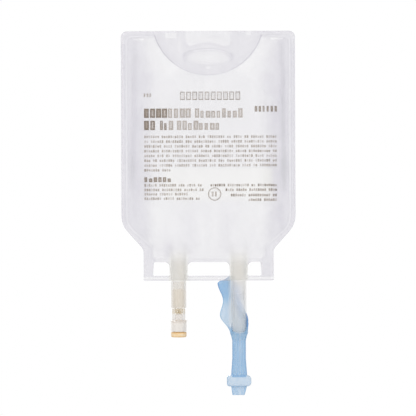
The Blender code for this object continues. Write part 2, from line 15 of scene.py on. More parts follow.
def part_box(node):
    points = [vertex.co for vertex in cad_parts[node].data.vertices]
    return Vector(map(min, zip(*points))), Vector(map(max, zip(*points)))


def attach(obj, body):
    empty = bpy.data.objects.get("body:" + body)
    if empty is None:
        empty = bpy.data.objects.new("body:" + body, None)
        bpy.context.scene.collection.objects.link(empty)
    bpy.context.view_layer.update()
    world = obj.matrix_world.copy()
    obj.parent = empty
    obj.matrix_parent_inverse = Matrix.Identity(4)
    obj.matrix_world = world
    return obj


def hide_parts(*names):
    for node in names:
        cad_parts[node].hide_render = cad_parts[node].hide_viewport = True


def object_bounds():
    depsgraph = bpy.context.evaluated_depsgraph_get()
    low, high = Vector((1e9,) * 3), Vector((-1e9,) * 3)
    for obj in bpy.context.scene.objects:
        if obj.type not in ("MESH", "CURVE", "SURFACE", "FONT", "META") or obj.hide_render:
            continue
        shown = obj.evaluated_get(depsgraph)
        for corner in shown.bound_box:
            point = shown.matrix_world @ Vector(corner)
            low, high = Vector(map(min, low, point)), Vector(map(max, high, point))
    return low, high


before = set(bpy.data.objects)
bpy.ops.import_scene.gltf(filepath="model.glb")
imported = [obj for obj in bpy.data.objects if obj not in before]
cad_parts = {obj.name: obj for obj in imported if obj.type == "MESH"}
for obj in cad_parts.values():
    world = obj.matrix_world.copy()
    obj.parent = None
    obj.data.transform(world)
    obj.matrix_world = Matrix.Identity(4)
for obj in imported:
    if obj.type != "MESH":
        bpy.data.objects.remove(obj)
cad_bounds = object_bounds()

# Studio: a white room round the hanging bag, a pale floor below it and three soft panels. The
# camera stands square in front with a long lens, turned a little about its own line of sight.
MM = 0.001
MM_PER_PIXEL = 0.517
PICTURE_PIXELS = 416
CAMERA_LENS = 200
CAMERA_SENSOR = 36
CAMERA_ROLL = math.radians(0.2)
PICTURE_MIDDLE = Vector((-0.24, 0, -82.0))
PANELS = (  # name, place, size and watts
    ("key_panel", (-520, -900, 420), 620, 5.0),
    ("fill_panel", (820, -780, 60), 700, 2.2),
    ("rear_panel", (-300, 900, 300), 700, 4.0),
)
ROOM_LIGHT = (0.98, 0.99, 1.0, 1)
ROOM_STRENGTH = 0.55
BACKDROP_WHITE = (1, 1, 1, 1)
FLOOR_DROP = 110  # below the bag's lowest point
FLOOR_SIZE = 900
FLOOR_PAINT = (0.86, 0.86, 0.87, 1)
FLOOR_ROUGHNESS = 0.8

scene = bpy.context.scene
scene.view_settings.view_transform = "Standard"
scene.cycles.transparent_max_bounces = 32

camera = bpy.data.objects.new("camera", bpy.data.cameras.new("camera"))
camera.data.lens = CAMERA_LENS
camera.data.sensor_width = CAMERA_SENSOR
camera_distance = PICTURE_PIXELS * MM_PER_PIXEL * CAMERA_LENS / CAMERA_SENSOR
camera.location = (PICTURE_MIDDLE + Vector((0, -camera_distance, 0))) * MM
camera.rotation_euler = (math.pi / 2, CAMERA_ROLL, 0)
scene.collection.objects.link(camera)
scene.camera = camera

for name, place, size, watts in PANELS:
    lamp = bpy.data.objects.new(name, bpy.data.lights.new(name, "AREA"))
    lamp.data.shape = "SQUARE"
    lamp.data.size = size * MM
    lamp.data.energy = watts
    lamp.location = Vector(place) * MM
    lamp.rotation_euler = (PICTURE_MIDDLE * MM - lamp.location).to_track_quat("-Z", "Y").to_euler()
    scene.collection.objects.link(lamp)


def wired(tree, kind, inputs, **settings):
    """A shader node with its settings and its inputs, each a value or another node's socket."""
    made = tree.nodes.new("ShaderNode" + kind)
    for name, value in settings.items():
        setattr(made, name, value)
    for key, value in inputs.items():
        if isinstance(value, bpy.types.NodeSocket):
            tree.links.new(value, made.inputs[key])
        else:
            made.inputs[key].default_value = value
    return made


world = bpy.data.worlds.new("white_room")
scene.world = world
world.use_nodes = True
room = world.node_tree
room.nodes.clear()
ray = wired(room, "LightPath", {}).outputs
seen = wired(room, "Math", {0: ray["Is Camera Ray"], 1: ray["Is Glossy Ray"]}, operation="MAXIMUM")
seen = wired(room, "Math", {0: seen.outputs[0], 1: ray["Is Transmission Ray"]}, operation="MAXIMUM")
ambient = wired(room, "Background", {"Color": ROOM_LIGHT, "Strength": ROOM_STRENGTH})
backdrop = wired(room, "Background", {"Color": BACKDROP_WHITE, "Strength": 1.0})
both = {"Fac": seen.outputs[0], 1: ambient.outputs[0], 2: backdrop.outputs[0]}
choose = wired(room, "MixShader", both)
wired(room, "OutputWorld", {"Surface": choose.outputs[0]})

half = FLOOR_SIZE / 2 * MM
floor_mesh = bpy.data.meshes.new("floor")
floor_corners = [(-half, -half, 0), (half, -half, 0), (half, half, 0), (-half, half, 0)]
floor_mesh.from_pydata(floor_corners, [], [(0, 1, 2, 3)])
floor = bpy.data.objects.new("floor", floor_mesh)
floor.location.z = cad_bounds[0].z - FLOOR_DROP * MM
floor_paint = bpy.data.materials.new("pale_floor")
floor_paint.use_nodes = True
paint_inputs = floor_paint.node_tree.nodes["Principled BSDF"].inputs
paint_inputs["Base Color"].default_value = FLOOR_PAINT
paint_inputs["Roughness"].default_value = FLOOR_ROUGHNESS
floor_mesh.materials.append(floor_paint)
scene.collection.objects.link(floor)

# Film sheets: front and back are one frosted soft film, cut to the same outline and welded together
# by a heated tool. It leaves a flat border with a bead along its inner edge, a skirt with three
# windows, and half pipes over the tubes. Empty, the two sheets still stand a little apart.
FILM = 0.35
THINNEST_FILM = 0.12
FILM_GAP = 0.02  # left between the sheets where they are welded
WELD_HALF = 0.5  # half of both films together
BESIDE_WELD = 0.1  # how far the welded part reaches past the weld's edge
WRAP_CLEARANCE = 0.1  # between a tube and the film round it
SIDE_WELD = 3.1
SKIRT_WELD = 4.9
FLOOR_SEAL = 1.6
TOP_CORNER_RADIUS = 3.0
SHOULDER_HEIGHT = 28.8
SHOULDER_RADIUS = 13.0
SKIRT_HEIGHT = 16.2
SKIRT_RADIUS = 5.0
FOOT_RADIUS = 0.6
SLANT_RISE = 1.2
POCKET_RADIUS = 2.5
SEAL_ARC_RADIUS = 28.9
SEAL_ARC_DEPTH = 22.6
BAR_HEIGHT = 2.5
WINDOW_HEIGHT = 7.1
LEFT_WINDOW_WIDTH = 8.4
RIGHT_WINDOW_WIDTH = 7.0
WINDOW_FLARE = 0.6
WINDOW_LARGE_RADIUS = 2.6
WINDOW_SMALL_RADIUS = 0.8
POST_WIDTH = 4.8  # film beside the left window
COLUMN_FOOT_HALF = 4.5  # half width of the film round a tube, at the strip below the windows
COLUMN_TOP_HALF = 4.85
TONGUE_LENGTH = 24.0
TONGUE_HEIGHT = 8.2
SLIT_WIDTH = 0.12
SLIT_PAST_END = 0.3  # how far the cut turns past the tongue's ends, in radians
SLIT_STEPS = 60
ARCH = (  # pressed line over the tongue
    (-13.6, 7.6), (-12.6, 4.2), (-11.0, 1.9), (-9.2, 1.0), (-6.5, 1.7), (-3.5, 2.5), (-0.4, 2.8),
    (3.2, 2.4), (6.4, 1.4), (9.0, 0.7), (11.0, 1.4), (12.6, 3.4), (13.4, 7.0),
)
PILLOW_RISE = 1.85
PILLOW_EASE = 4.5  # how far in from the weld most of the rise is reached
TENT_LENGTH = 20.0
TENT_END_RISE = 0.5
TENT_WIDENING = 0.5  # how much wider a tent is at its end, as a share
TENT_BLEND = (0.5, 1.9)  # how softly it meets the pillow at its foot and its end
TENT_REACH = 1.3  # as far as it shapes the film, as a share of its half width
FINE_STEP = 0.5
COARSE_STEP = 1.25
HANGER_STEP = 0.4
ARCH_STEP = 0.35
TUBE_ROW_STEP = 0.7
TUBE_COLUMNS = 11  # rows of points along each side of a tube
DETAIL_BAND = 5.0  # width of the finely meshed border
ROW_ROOM = 0.16  # least room round a point of the rows
EDGE_ROOM = 0.12
HANGER_ROOM = 0.7  # as a share of the step
FILL_ROOM = 0.6
WELD_ROWS = (-1.2, -0.95, -0.7, -0.45, -0.2, 0.0, 0.2, 0.5, 0.9)  # inwards from the weld's edge
EDGE_ROWS = (0.15, 0.35, 0.6, 0.9, 1.2, 1.5)  # inwards from the cut edge
ARCH_ROWS = (-0.5, -0.25, 0, 0.25, 0.5)
ARC_STEP = math.radians(6)
FILM_CREASE = math.radians(50)

film_low, film_high = (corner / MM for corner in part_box("bag_front_film"))
tube_low, tube_high = (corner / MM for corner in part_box("medication_port_tube"))
BAG_HALF = film_high.x
BAG_TOP = film_high.z
FOOT = film_low.z
TUBE_RADIUS = (tube_high.x - tube_low.x) / 2
PORT_X = -(tube_high.x + tube_low.x) / 2
TUBE_TOP = tube_high.z
WRAP_RADIUS = TUBE_RADIUS + FILM + WRAP_CLEARANCE
SKIRT_HALF = PORT_X + COLUMN_TOP_HALF + LEFT_WINDOW_WIDTH + POST_WIDTH
FLOOR_Z = FOOT + BAR_HEIGHT + WINDOW_HEIGHT + FLOOR_SEAL
SEAL_CENTRE_Z = BAG_TOP - SEAL_ARC_DEPTH + SEAL_ARC_RADIUS
SEAL_FOOT = SEAL_CENTRE_Z - SEAL_ARC_RADIUS


def rounded(corners):
    """Outline through (x, z, radius) corners, each rounded by an arc that touches both sides."""
    points = []
    for i, (x, z, radius) in enumerate(corners):
        here = Vector((x, z))
        before = (Vector(corners[i - 1][:2]) - here).normalized()
        after = (Vector(corners[(i + 1) % len(corners)][:2]) - here).normalized()
        if radius == 0:
            points.append(here)
            continue
        half_angle = before.angle(after) / 2
        centre = here + (before + after).normalized() * radius / math.sin(half_angle)
        start = here + before * radius / math.tan(half_angle) - centre
        sweep = math.pi - 2 * half_angle
        turn = 1 if before.cross(start) > 0 else -1
        steps = max(2, round(sweep / ARC_STEP))
        for k in range(steps + 1):
            points.append(centre + Matrix.Rotation(turn * sweep * k / steps, 2) @ start)
    return points


def resampled(loop, step):
    """The closed loop with points no further apart than step. Corners stay."""
    spots = []
    for i, here in enumerate(loop):
        there = loop[(i + 1) % len(loop)]
        count = max(1, math.ceil((there - here).length / step))
        spots += [here.lerp(there, k / count) for k in range(count)]
    return np.array(spots)


def inside(points, loop):
    """True for each point inside the closed loop."""
    x, z = points[:, 0][:, None], points[:, 1][:, None]
    x0, z0 = loop[:, 0][None], loop[:, 1][None]
    x1, z1 = np.roll(x0, -1, 1), np.roll(z0, -1, 1)
    crosses = (z0 > z) != (z1 > z)
    level = np.where(crosses, z1 - z0, 1)
    return (crosses & (x < x0 + (z - z0) / level * (x1 - x0))).sum(1) % 2 == 1


def line_distance(points, starts, ends):
    """Distance of each point from the nearest of the straight pieces."""
    distance = np.full(len(points), 1e9)
    for start, end in zip(starts, ends):
        arm, along = points - start, end - start
        share = np.clip(arm @ along / (along @ along), 0, 1)
        distance = np.minimum(distance, np.linalg.norm(arm - share[:, None] * along, axis=1))
    return distance


def depth_in(points, loop):
    """Distance from the closed loop, above zero inside it."""
    distance = line_distance(points, loop, np.roll(loop, -1, 0))
    return np.where(inside(points, loop), distance, -distance)


def sideways(along):
    """Unit vectors square to the given ones, in the sheet's plane."""
    return np.stack([along[:, 1], -along[:, 0]], 1) / np.linalg.norm(along, axis=1)[:, None]


def offset_loop(loop, distance):
    """The closed loop moved inwards by the distance, point by point."""
    shift = sideways(np.roll(loop, -1, 0) - np.roll(loop, 1, 0)) * distance
    return loop + shift if inside(loop[:1] + shift[:1], loop)[0] == (distance > 0) else loop - shift


def liquid_loop():
    """Inner edge of the weld, with the round seal below the hanger."""
    side = BAG_HALF - SIDE_WELD
    floor_side = SKIRT_HALF - SKIRT_WELD
    ceiling = BAG_TOP - SIDE_WELD
    half_chord = math.sqrt(SEAL_ARC_RADIUS**2 - (SEAL_CENTRE_Z - ceiling) ** 2)
    half_sweep = math.asin(half_chord / SEAL_ARC_RADIUS)
    corners = [
        (half_chord, ceiling, 0),
        (side, ceiling, POCKET_RADIUS),
        (side, FOOT + SHOULDER_HEIGHT, SHOULDER_RADIUS - SIDE_WELD),
        (floor_side, FOOT + SKIRT_HEIGHT + SLANT_RISE, POCKET_RADIUS),
        (floor_side, FLOOR_Z, POCKET_RADIUS),
        (0, FLOOR_Z, 0),
    ]
    right = rounded(corners)
    left = [Vector((-p.x, p.y)) for p in reversed(right[:-1])]
    steps = round(2 * half_sweep / ARC_STEP)
    arc = []
    for k in range(1, steps):
        angle = half_sweep * (2 * k / steps - 1)
        height = SEAL_CENTRE_Z - SEAL_ARC_RADIUS * math.cos(angle)
        arc.append(Vector((SEAL_ARC_RADIUS * math.sin(angle), height)))
    return resampled(right + left + arc, FINE_STEP)


def window_loop(left_top, right_top, left_foot, right_foot, left_radius, right_radius):
    """One window of the skirt, from the places and roundings of its corners."""
    foot, top = FOOT + BAR_HEIGHT, FOOT + BAR_HEIGHT + WINDOW_HEIGHT
    corners = [
        (left_top, top, left_radius),
        (right_top, top, right_radius),
        (right_foot, foot, WINDOW_SMALL_RADIUS),
        (left_foot, foot, WINDOW_SMALL_RADIUS),
    ]
    return resampled(rounded(corners), FINE_STEP)


def slit_loop():
    """The cut over the tongue's top and down both its ends."""
    half_length, half_height = TONGUE_LENGTH / 2, TONGUE_HEIGHT / 2
    sweep = math.pi + 2 * SLIT_PAST_END
    turns = [sweep * k / SLIT_STEPS - SLIT_PAST_END for k in range(SLIT_STEPS + 1)]
    edges = []
    for inset in (0, SLIT_WIDTH):
        long, high = half_length - inset, half_height - inset
        cut = [Vector((long * math.cos(a), high * math.sin(a) - half_height)) for a in turns]
        edges.append(cut)
    return np.array(edges[0] + edges[1][::-1])


def smooth_line(points, step):
    """Open curve through the points, read off every step."""
    spots = []
    last = len(points) - 1
    for i in range(last):
        p0, p1, p2, p3 = (Vector(points[min(max(i + k, 0), last)]) for k in (-1, 0, 1, 2))
        count = max(2, round((p2 - p1).length / step))
        for k in range(count):
            t = k / count
            square = (2 * p0 - 5 * p1 + 4 * p2 - p3) * t * t
            cube = (3 * p1 - p0 - 3 * p2 + p3) * t**3
            spots.append(0.5 * (2 * p1 + (p2 - p0) * t + square + cube))
    spots.append(Vector(points[-1]))
    return np.array(spots)


right_half = [
    (BAG_HALF, BAG_TOP, TOP_CORNER_RADIUS),
    (BAG_HALF, FOOT + SHOULDER_HEIGHT, SHOULDER_RADIUS),
    (SKIRT_HALF, FOOT + SKIRT_HEIGHT, SKIRT_RADIUS),
    (SKIRT_HALF, FOOT, FOOT_RADIUS),
]
left_half = [(-x, z, radius) for x, z, radius in reversed(right_half)]
outline = resampled(rounded(right_half + left_half), FINE_STEP)
liquid = liquid_loop()
arch_line = smooth_line(ARCH, ARCH_STEP)
inner_top, inner_foot = PORT_X - COLUMN_TOP_HALF, PORT_X - COLUMN_FOOT_HALF
outer_top, outer_foot = PORT_X + COLUMN_TOP_HALF, PORT_X + COLUMN_FOOT_HALF
left_edge = -outer_top - LEFT_WINDOW_WIDTH
right_edge = outer_top + RIGHT_WINDOW_WIDTH
large, small = WINDOW_LARGE_RADIUS, WINDOW_SMALL_RADIUS
holes = [
    window_loop(left_edge + WINDOW_FLARE, -outer_top, left_edge, -outer_foot, small, large),
    window_loop(-inner_top, inner_top, -inner_foot, inner_foot, large, large),
    window_loop(outer_top, right_edge - WINDOW_FLARE, outer_foot, right_edge, large, small),
    slit_loop(),
]


def on_sheet(points):
    """True for each point on the film, and not beside it, in a window or in the slit."""
    kept = inside(points, outline)
    for hole in holes:
        kept &= ~inside(points, hole)
    return kept


def hex_grid(step, low, high):
    """Points at even distances, in rows shifted by half a step."""
    rows = np.arange(low[1], high[1], step * math.sqrt(3) / 2)
    columns = np.arange(low[0], high[0], step)
    grid = []
    for j, z in enumerate(rows):
        grid.append(np.stack([columns + step / 2 * (j % 2), np.full(len(columns), z)], 1))
    return np.concatenate(grid)


def spread(kept, spots, room_needed):
    """Adds the spots that lie on the film with enough room round them."""
    tree = kdtree.KDTree(len(kept))
    for i, point in enumerate(kept):
        tree.insert((*point, 0), i)
    tree.balance()
    return kept + [tuple(p) for p in spots[on_sheet(spots)] if tree.find((*p, 0))[2] > room_needed]


def sheet_points():
    """Points of the flat sheet: its cut edges, rows along the weld, arch and tubes, and a fill."""
    kept = [tuple(p) for p in np.concatenate([outline, *holes])]
    for depth in WELD_ROWS:
        kept = spread(kept, offset_loop(liquid, depth), ROW_ROOM)
    for depth in EDGE_ROWS:
        kept = spread(kept, offset_loop(outline, depth), EDGE_ROOM)
    for shift in ARCH_ROWS:
        kept = spread(kept, arch_line + sideways(np.gradient(arch_line, axis=0)) * shift, ROW_ROOM)
    heights = np.arange(FOOT + 0.3, TUBE_TOP + TENT_LENGTH, TUBE_ROW_STEP)
    for port in (-PORT_X, PORT_X):
        for k in range(-TUBE_COLUMNS, TUBE_COLUMNS + 1):
            offset = WRAP_RADIUS * math.sin(math.pi / 2 * k / TUBE_COLUMNS)
            row = np.stack([np.full(len(heights), port + offset), heights], 1)
            kept = spread(kept, row, ROW_ROOM)
    hanger = hex_grid(HANGER_STEP, (-SEAL_ARC_RADIUS, SEAL_FOOT), (SEAL_ARC_RADIUS, BAG_TOP))
    kept = spread(kept, hanger, HANGER_ROOM * HANGER_STEP)
    low, high = (-BAG_HALF, FOOT), (BAG_HALF, BAG_TOP)
    fine = hex_grid(FINE_STEP, low, high)
    wanted = (np.abs(fine[:, 0]) > BAG_HALF - DETAIL_BAND) | (fine[:, 1] < FOOT + SHOULDER_HEIGHT)
    fine = fine[wanted | (fine[:, 1] > BAG_TOP - DETAIL_BAND)]
    near_weld = (depth_in(fine, liquid[::2]) < DETAIL_BAND - SIDE_WELD) | (fine[:, 1] < FLOOR_Z)
    kept = spread(kept, fine[near_weld], FILL_ROOM * FINE_STEP)
    return spread(kept, hex_grid(COARSE_STEP, low, high), FILL_ROOM * COARSE_STEP)


def sheet_faces():
    """The flat sheet as points and triangles, with the windows and the slit left open."""
    edges, start = [], 0
    for loop in [outline, *holes]:
        count = len(loop)
        edges += [(start + i, start + (i + 1) % count) for i in range(count)]
        start += count
    points = [Vector(p) for p in sheet_points()]
    flat, _, faces, *_ = geometry.delaunay_2d_cdt(points, edges, [], 0, 1e-5)
    flat, faces = np.array(flat), np.array(faces)
    return flat, faces[on_sheet(flat[faces].mean(1))]


def rising(value, low, high):
    """Smooth step from 0 at low to 1 at high. It falls where low is the larger."""
    share = np.clip((value - low) / (high - low), 0, 1)
    return share * share * (3 - 2 * share)


def ridge(distance, width):
    return np.exp(-((distance / width) ** 2))


def ridges(distance, lines):
    """Sum of ridges along one edge, each given by its distance from it, half width and height."""
    return sum(height * ridge(distance - place, width) for place, width, height in lines)


def soft_max(a, b, blend):
    return np.maximum(a, b) + np.maximum(blend - np.abs(a - b), 0) ** 2 / blend / 4


flat_points, flat_faces = sheet_faces()
edge_depth = depth_in(flat_points, outline)
liquid_depth = depth_in(flat_points, liquid)
seal_depth = np.hypot(flat_points[:, 0], flat_points[:, 1] - SEAL_CENTRE_Z) - SEAL_ARC_RADIUS
arch_distance = line_distance(flat_points, arch_line, arch_line[1:])
tongue_size = np.array([TONGUE_LENGTH, TONGUE_HEIGHT]) / 2
tongue_reach = np.hypot(*(flat_points / tongue_size + (0, 1)).T)  # 1 along the slit

# Pressed lines: distance inwards from the edge, half width, and rise, or in the shades, painted
# shade (above 0) and painted light (below 0) along the lines
WELD_LINES = ((-0.35, 0.24, 0.16), (-0.95, 0.22, -0.08))
EDGE_LINES = ((0.9, 0.25, 0.04), (0, 0.15, -0.12))
WELD_SHADES = ((-0.4, 0.3, -0.16), (-1.0, 0.35, 0.14))
EDGE_SHADES = ((0, 0.3, 0.18),)
# Soft folds of the empty pillow: start, end, width, rise, and the painted shade (above 0) or
# painted light (below 0) along the fold
FOLDS = (
    ((-26, -85), (-22, -60), 5.0, 0.30, -0.12),
    ((-29, -96), (-25, -84), 3.5, 0.20, -0.08),
    ((-20, -104), (-23, -90), 2.2, -0.24, 0.10),
    ((-10, -84), (-8, -104), 6.0, -0.10, 0.20),
    ((11, -101), (16, -106), 4.5, -0.10, 0.24),
    ((-36, -18), (-35, -76), 4.6, -0.15, 0.18),
    ((-31, -12), (-31, -24), 4.0, -0.10, 0.30),
    ((32, -34), (32, -76), 5.0, -0.12, 0.26),
    ((-11, -92), (-8, -78), 3.5, -0.22, 0.10),
    ((-14, -100), (-13, -88), 2.5, 0.15, -0.06),
    ((3, -107), (4, -84), 2.6, 0.30, -0.16),
    ((-0.6, -104), (-0.6, -84), 0.9, -0.08, 0.05),
    ((9, -105), (10, -92), 2.2, -0.20, 0.12),
    ((18, -96), (19, -84), 3.0, 0.18, -0.05),
    ((27, -96), (29, -80), 3.4, 0.28, -0.12),
    ((25, -104), (30, -101), 2.6, -0.25, 0.22),
    ((10, -104), (13, -106), 1.6, -0.20, 0.28),
    ((-21, -107), (-19, -102), 1.8, -0.20, 0.22),
    ((-24, 2), (-17, -12), 5.5, 0.28, -0.22),
    ((24, 3), (17, -12), 5.0, 0.26, -0.20),
    ((-2, -19), (10, -18), 4.0, 0.12, -0.08),
    ((-34, -28), (-30, -30), 7.0, -0.20, 0.16),
    ((-30, -28), (-25, -27), 2.4, -0.14, 0.20),
    ((38, 6), (39.5, -72), 1.9, -0.30, 0.60),
    ((39.5, -54), (38, -92), 2.4, -0.22, 0.24),
    ((-34, -92), (-31, -98), 2.4, -0.18, 0.20),
    ((33, -88), (36, -80), 3.0, -0.14, 0.16),
)
FOLD_END = 0.15  # share of a fold's length over which it fades at each end
LIQUID_HAZE = 0.82
SIDE_PAINTED_SHADE = 0.40
WELD_HAZE = 1.16
HAZE_LIMITS = (0.4, 2.6)
SEAL_LINE_HAZE = 0.80
TONGUE_PAINTED_LIGHT = 0.34
STRIP_CLEARING = 0.45
POCKET_GLINTS = ((-35.9, 5.3, 2.4), (35.6, 5.6, 2.6))  # middle x and z, and half width
HANGER_TABS = ((-19.2, 7.3, 2.6), (20.9, 8.8, 1.0))


def folds(points, mirror):
    """Rise of the soft folds at each point, and the painted light and shade along them."""
    rise, density = np.zeros(len(points)), np.zeros(len(points))
    for start, end, width, height, denser in FOLDS:
        a, b = (np.array((mirror * x, z), float) for x, z in (start, end))
        reach = (points - a) @ (b - a) / ((b - a) @ (b - a))
        near = ridge(line_distance(points, [a], [b]), width)
        near *= rising(reach, -FOLD_END, FOLD_END) * rising(reach, 1 + FOLD_END, 1 - FOLD_END)
        rise += height * near
        density += denser * near
    return rise, density


def film_rise(side):
    """Height of the film's outer face over the middle plane."""
    x, z = flat_points.T
    pillow = PILLOW_RISE * (1 - np.exp(-np.maximum(liquid_depth, 0) / PILLOW_EASE))
    pillow += folds(flat_points, -side)[0] * rising(liquid_depth, 0, 8)
    rise = WELD_HALF + np.maximum(pillow, 0)
    rise += ridges(liquid_depth, WELD_LINES) + ridges(edge_depth, EDGE_LINES)
    rise += 0.06 * ridge(arch_distance, 0.4)
    rise += 0.10 * rising(tongue_reach, 1.05, 0.45) * (z > -TONGUE_HEIGHT)
    up = np.clip((z - TUBE_TOP) / TENT_LENGTH, 0, 1)
    crown = WRAP_RADIUS + (TENT_END_RISE - WRAP_RADIUS) * rising(up, 0, 1)
    for port in (-PORT_X, PORT_X):
        reach = np.abs(x - port) / (WRAP_RADIUS * (1 + TENT_WIDENING * up))
        tent = np.sqrt(np.maximum(1 - reach**2, 0)) * crown
        blend = TENT_BLEND[0] + (TENT_BLEND[1] - TENT_BLEND[0]) * up
        rise = np.where(reach < TENT_REACH, soft_max(rise, tent, blend), rise)
    return rise


def warm_patch(side):
    """The lighter, warmer field of the front film behind the lower print."""
    x, z = flat_points.T
    across = rising(x, -24, -21) * rising(x, 34.5, 31.5)
    return across * rising(z, -80, -75) * rising(z, -61, -62.5) * (side < 0)


def near_tubes():
    """1 on the film round the tubes, fading out above them."""
    x, z = flat_points.T
    edge = COLUMN_TOP_HALF + 0.6
    from_port = np.abs(np.abs(x) - PORT_X)
    return rising(from_port, edge, edge - 1.2) * rising(z, TUBE_TOP + 5, TUBE_TOP - 9)


def hanger_haze_and_shade():
    """The round seal's line, the clear field over the arch, the tongue with painted light on it and
    painted shadow along its slit, and small spots of painted light and shade.
    """
    x, z = flat_points.T
    out = np.abs(x)
    middle = -TONGUE_HEIGHT / 2
    rim = (tongue_reach - 1.0) * TONGUE_HEIGHT / 2
    density = 0.08 * ridge(seal_depth + 2.2, 1.4) * rising(z, -16, -8) - 0.08
    above_arch = (out < 12.6) & (z > 1.5)
    density -= 0.24 * above_arch * rising(out, 12.8, 10.2) * rising(arch_distance, 0.2, 1.8)
    # Painted light on the tongue
    density -= TONGUE_PAINTED_LIGHT * np.clip(1.05 - tongue_reach, 0, 1) ** 0.7
    # Painted shadow along the slit round the tongue, heavier on its upper half and darkest at both
    # ends
    density += (0.08 + 0.16 * rising(z, middle - 1, middle + 1)) * ridge(rim - 0.1, 0.6)
    density += 0.44 * ridge(out - TONGUE_LENGTH / 2 + 0.1, 0.6) * ridge(z - middle, 2.0)
    # Painted light in a soft upright streak left of the tongue
    density -= 0.12 * ridge(x + 14.6, 0.8) * ridge(z - 1.5, 3.0)
    density *= (seal_depth < 0) & (z > SEAL_FOOT)
    up_the_seal = 0.5 + 0.5 * rising(z, SEAL_FOOT + 1, SEAL_FOOT + 8)
    on_line = (liquid_depth < 0.6) & (z < 7.5)
    density += SEAL_LINE_HAZE * up_the_seal * ridge(seal_depth + 0.1, 0.34) * on_line
    density += 0.11 * ridge(arch_distance, 0.8) * rising(z, 6, 2)
    # Painted shade in a soft spot high over the arch, and a painted highlight below the tongue's
    # foot
    density += 0.14 * ridge(x - 4, 4.5) * ridge(z - 6.6, 1.6)
    density -= 0.30 * ridge(x, 1.2) * ridge(z + 9.4, 0.7)
    for tab_x, tab_z, half_width in HANGER_TABS:
        across = rising(np.abs(x - tab_x), half_width + 0.7, half_width)
        density -= 0.30 * across * rising(np.abs(z - tab_z), 1.9, 1.0)
    return density


def film_haze_and_shade(side):
    """Where the film looks denser: the weld, its lines, painted shade on the pillow's sides, and
    the folds.
    """
    x, z = flat_points.T
    out = np.abs(x)
    in_liquid = liquid_depth > 0
    # Painted shade down the pillow's sides, fading towards its middle along a wavy line
    wander = 1.5 * np.sin(z / 11) + 1.0 * np.sin(z / 4.3 + 1)
    beside_weld = rising(BAG_HALF - SIDE_WELD - out + wander, 15, 5)
    pillow = LIQUID_HAZE + SIDE_PAINTED_SHADE * beside_weld + folds(flat_points, -side)[1]
    density = np.where(in_liquid, pillow, WELD_HAZE)
    # Painted shade on the front film, just left of the left tube's top
    density += 0.60 * ridge(x + 20.8, 3.0) * ridge(z + 103.5, 5.5) * (side < 0) * in_liquid
    density += 0.12 * rising(out, BAG_HALF - 3.4, BAG_HALF - 1.9) * (z < TOP_CORNER_RADIUS)
    density += 0.10 * ridge(liquid_depth - 0.4, 0.5) * (z > FOOT + SKIRT_HEIGHT)
    # Painted light and shade along the weld's pressed lines and the cut edge
    density += ridges(liquid_depth, WELD_SHADES) + ridges(edge_depth, EDGE_SHADES)
    density -= 0.30 * warm_patch(side) + 0.16 * near_tubes()
    density -= 0.22 * ridge(z - FLOOR_Z + 0.9, 0.6) * (out < right_edge)
    strip_top = FOOT + BAR_HEIGHT - 0.3
    in_strip = rising(z, FOOT + 0.35, FOOT + 0.85) * rising(z, strip_top, strip_top - 0.5)
    density -= STRIP_CLEARING * in_strip * (1 - near_tubes())
    for place_x, place_z, half_width in POCKET_GLINTS:
        along = rising(np.abs(x - place_x), half_width + 1, half_width)
        density -= 0.55 * along * ridge(z - place_z, 0.5)
    return np.clip(density + hanger_haze_and_shade(), *HAZE_LIMITS)


def painted(mesh, label, values):
    """Keeps a value at each point of the mesh, for its material to read."""
    layer = mesh.attributes.new(label, "FLOAT", "POINT")
    layer.data.foreach_set("value", np.asarray(values, np.float32))


def film_mesh(name, side):
    """One sheet as a closed solid. Its side is -1 at the front and 1 at the back."""
    x, z = flat_points.T
    rise = film_rise(side)
    inner = np.where(liquid_depth < BESIDE_WELD, FILM_GAP / 2, rise - FILM)
    for port in (-PORT_X, PORT_X):
        bore = np.sqrt(np.maximum((TUBE_RADIUS + WRAP_CLEARANCE) ** 2 - (x - port) ** 2, 0))
        inner = np.where(z < TUBE_TOP, np.maximum(bore, inner), inner)
    inner = np.minimum(inner, rise - THINNEST_FILM)
    count = len(x)
    vertices = np.concatenate([np.stack([x, side * face, z], 1) for face in (rise, inner)]) * MM
    outer_faces = flat_faces if side > 0 else flat_faces[:, ::-1]
    directed = {(f[i], f[(i + 1) % 3]) for f in outer_faces.tolist() for i in range(3)}
    rim = [(b, a, a + count, b + count) for a, b in directed if (b, a) not in directed]
    inner_faces = outer_faces[:, ::-1] + count
    mesh = bpy.data.meshes.new(name)
    mesh.from_pydata(vertices.tolist(), [], outer_faces.tolist() + inner_faces.tolist() + rim)
    mesh.shade_smooth()
    mesh.set_sharp_from_angle(angle=FILM_CREASE)
    painted(mesh, "haze_and_shade", np.tile(film_haze_and_shade(side), 2))
    painted(mesh, "warmth", np.tile(0.7 * warm_patch(side) + 0.75 * near_tubes(), 2))
    return mesh


def hung(name, mesh, body, finish):
    """A piece with its finish, which moves with the body."""
    piece = bpy.data.objects.new(name, mesh)
    scene.collection.objects.link(piece)
    mesh.materials.append(finish)
    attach(piece, body)
    return piece


def dressed(name, mesh, body, node, finish):
    """A piece that stands for a solid of the frame."""
    piece = hung(name, mesh, body, finish)
    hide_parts(node)


def ranged(tree, value, from_low, from_high, to_low=0, to_high=1):
    """The value mapped from one range to another, held at both ends."""
    limits = {"From Min": from_low, "From Max": from_high, "To Min": to_low, "To Max": to_high}
    return wired(tree, "MapRange", {"Value": value, **limits}).outputs[0]


def mixed(tree, share, low, high):
    """Colour between two, by a share from 0 to 1."""
    blend = wired(tree, "Mix", {0: share}, data_type="RGBA", clamp_factor=True)
    for key, colour in ((6, low), (7, high)):
        if isinstance(colour, bpy.types.NodeSocket):
            tree.links.new(colour, blend.inputs[key])
        else:
            blend.inputs[key].default_value = (*colour, 1)
    return blend.outputs[2]


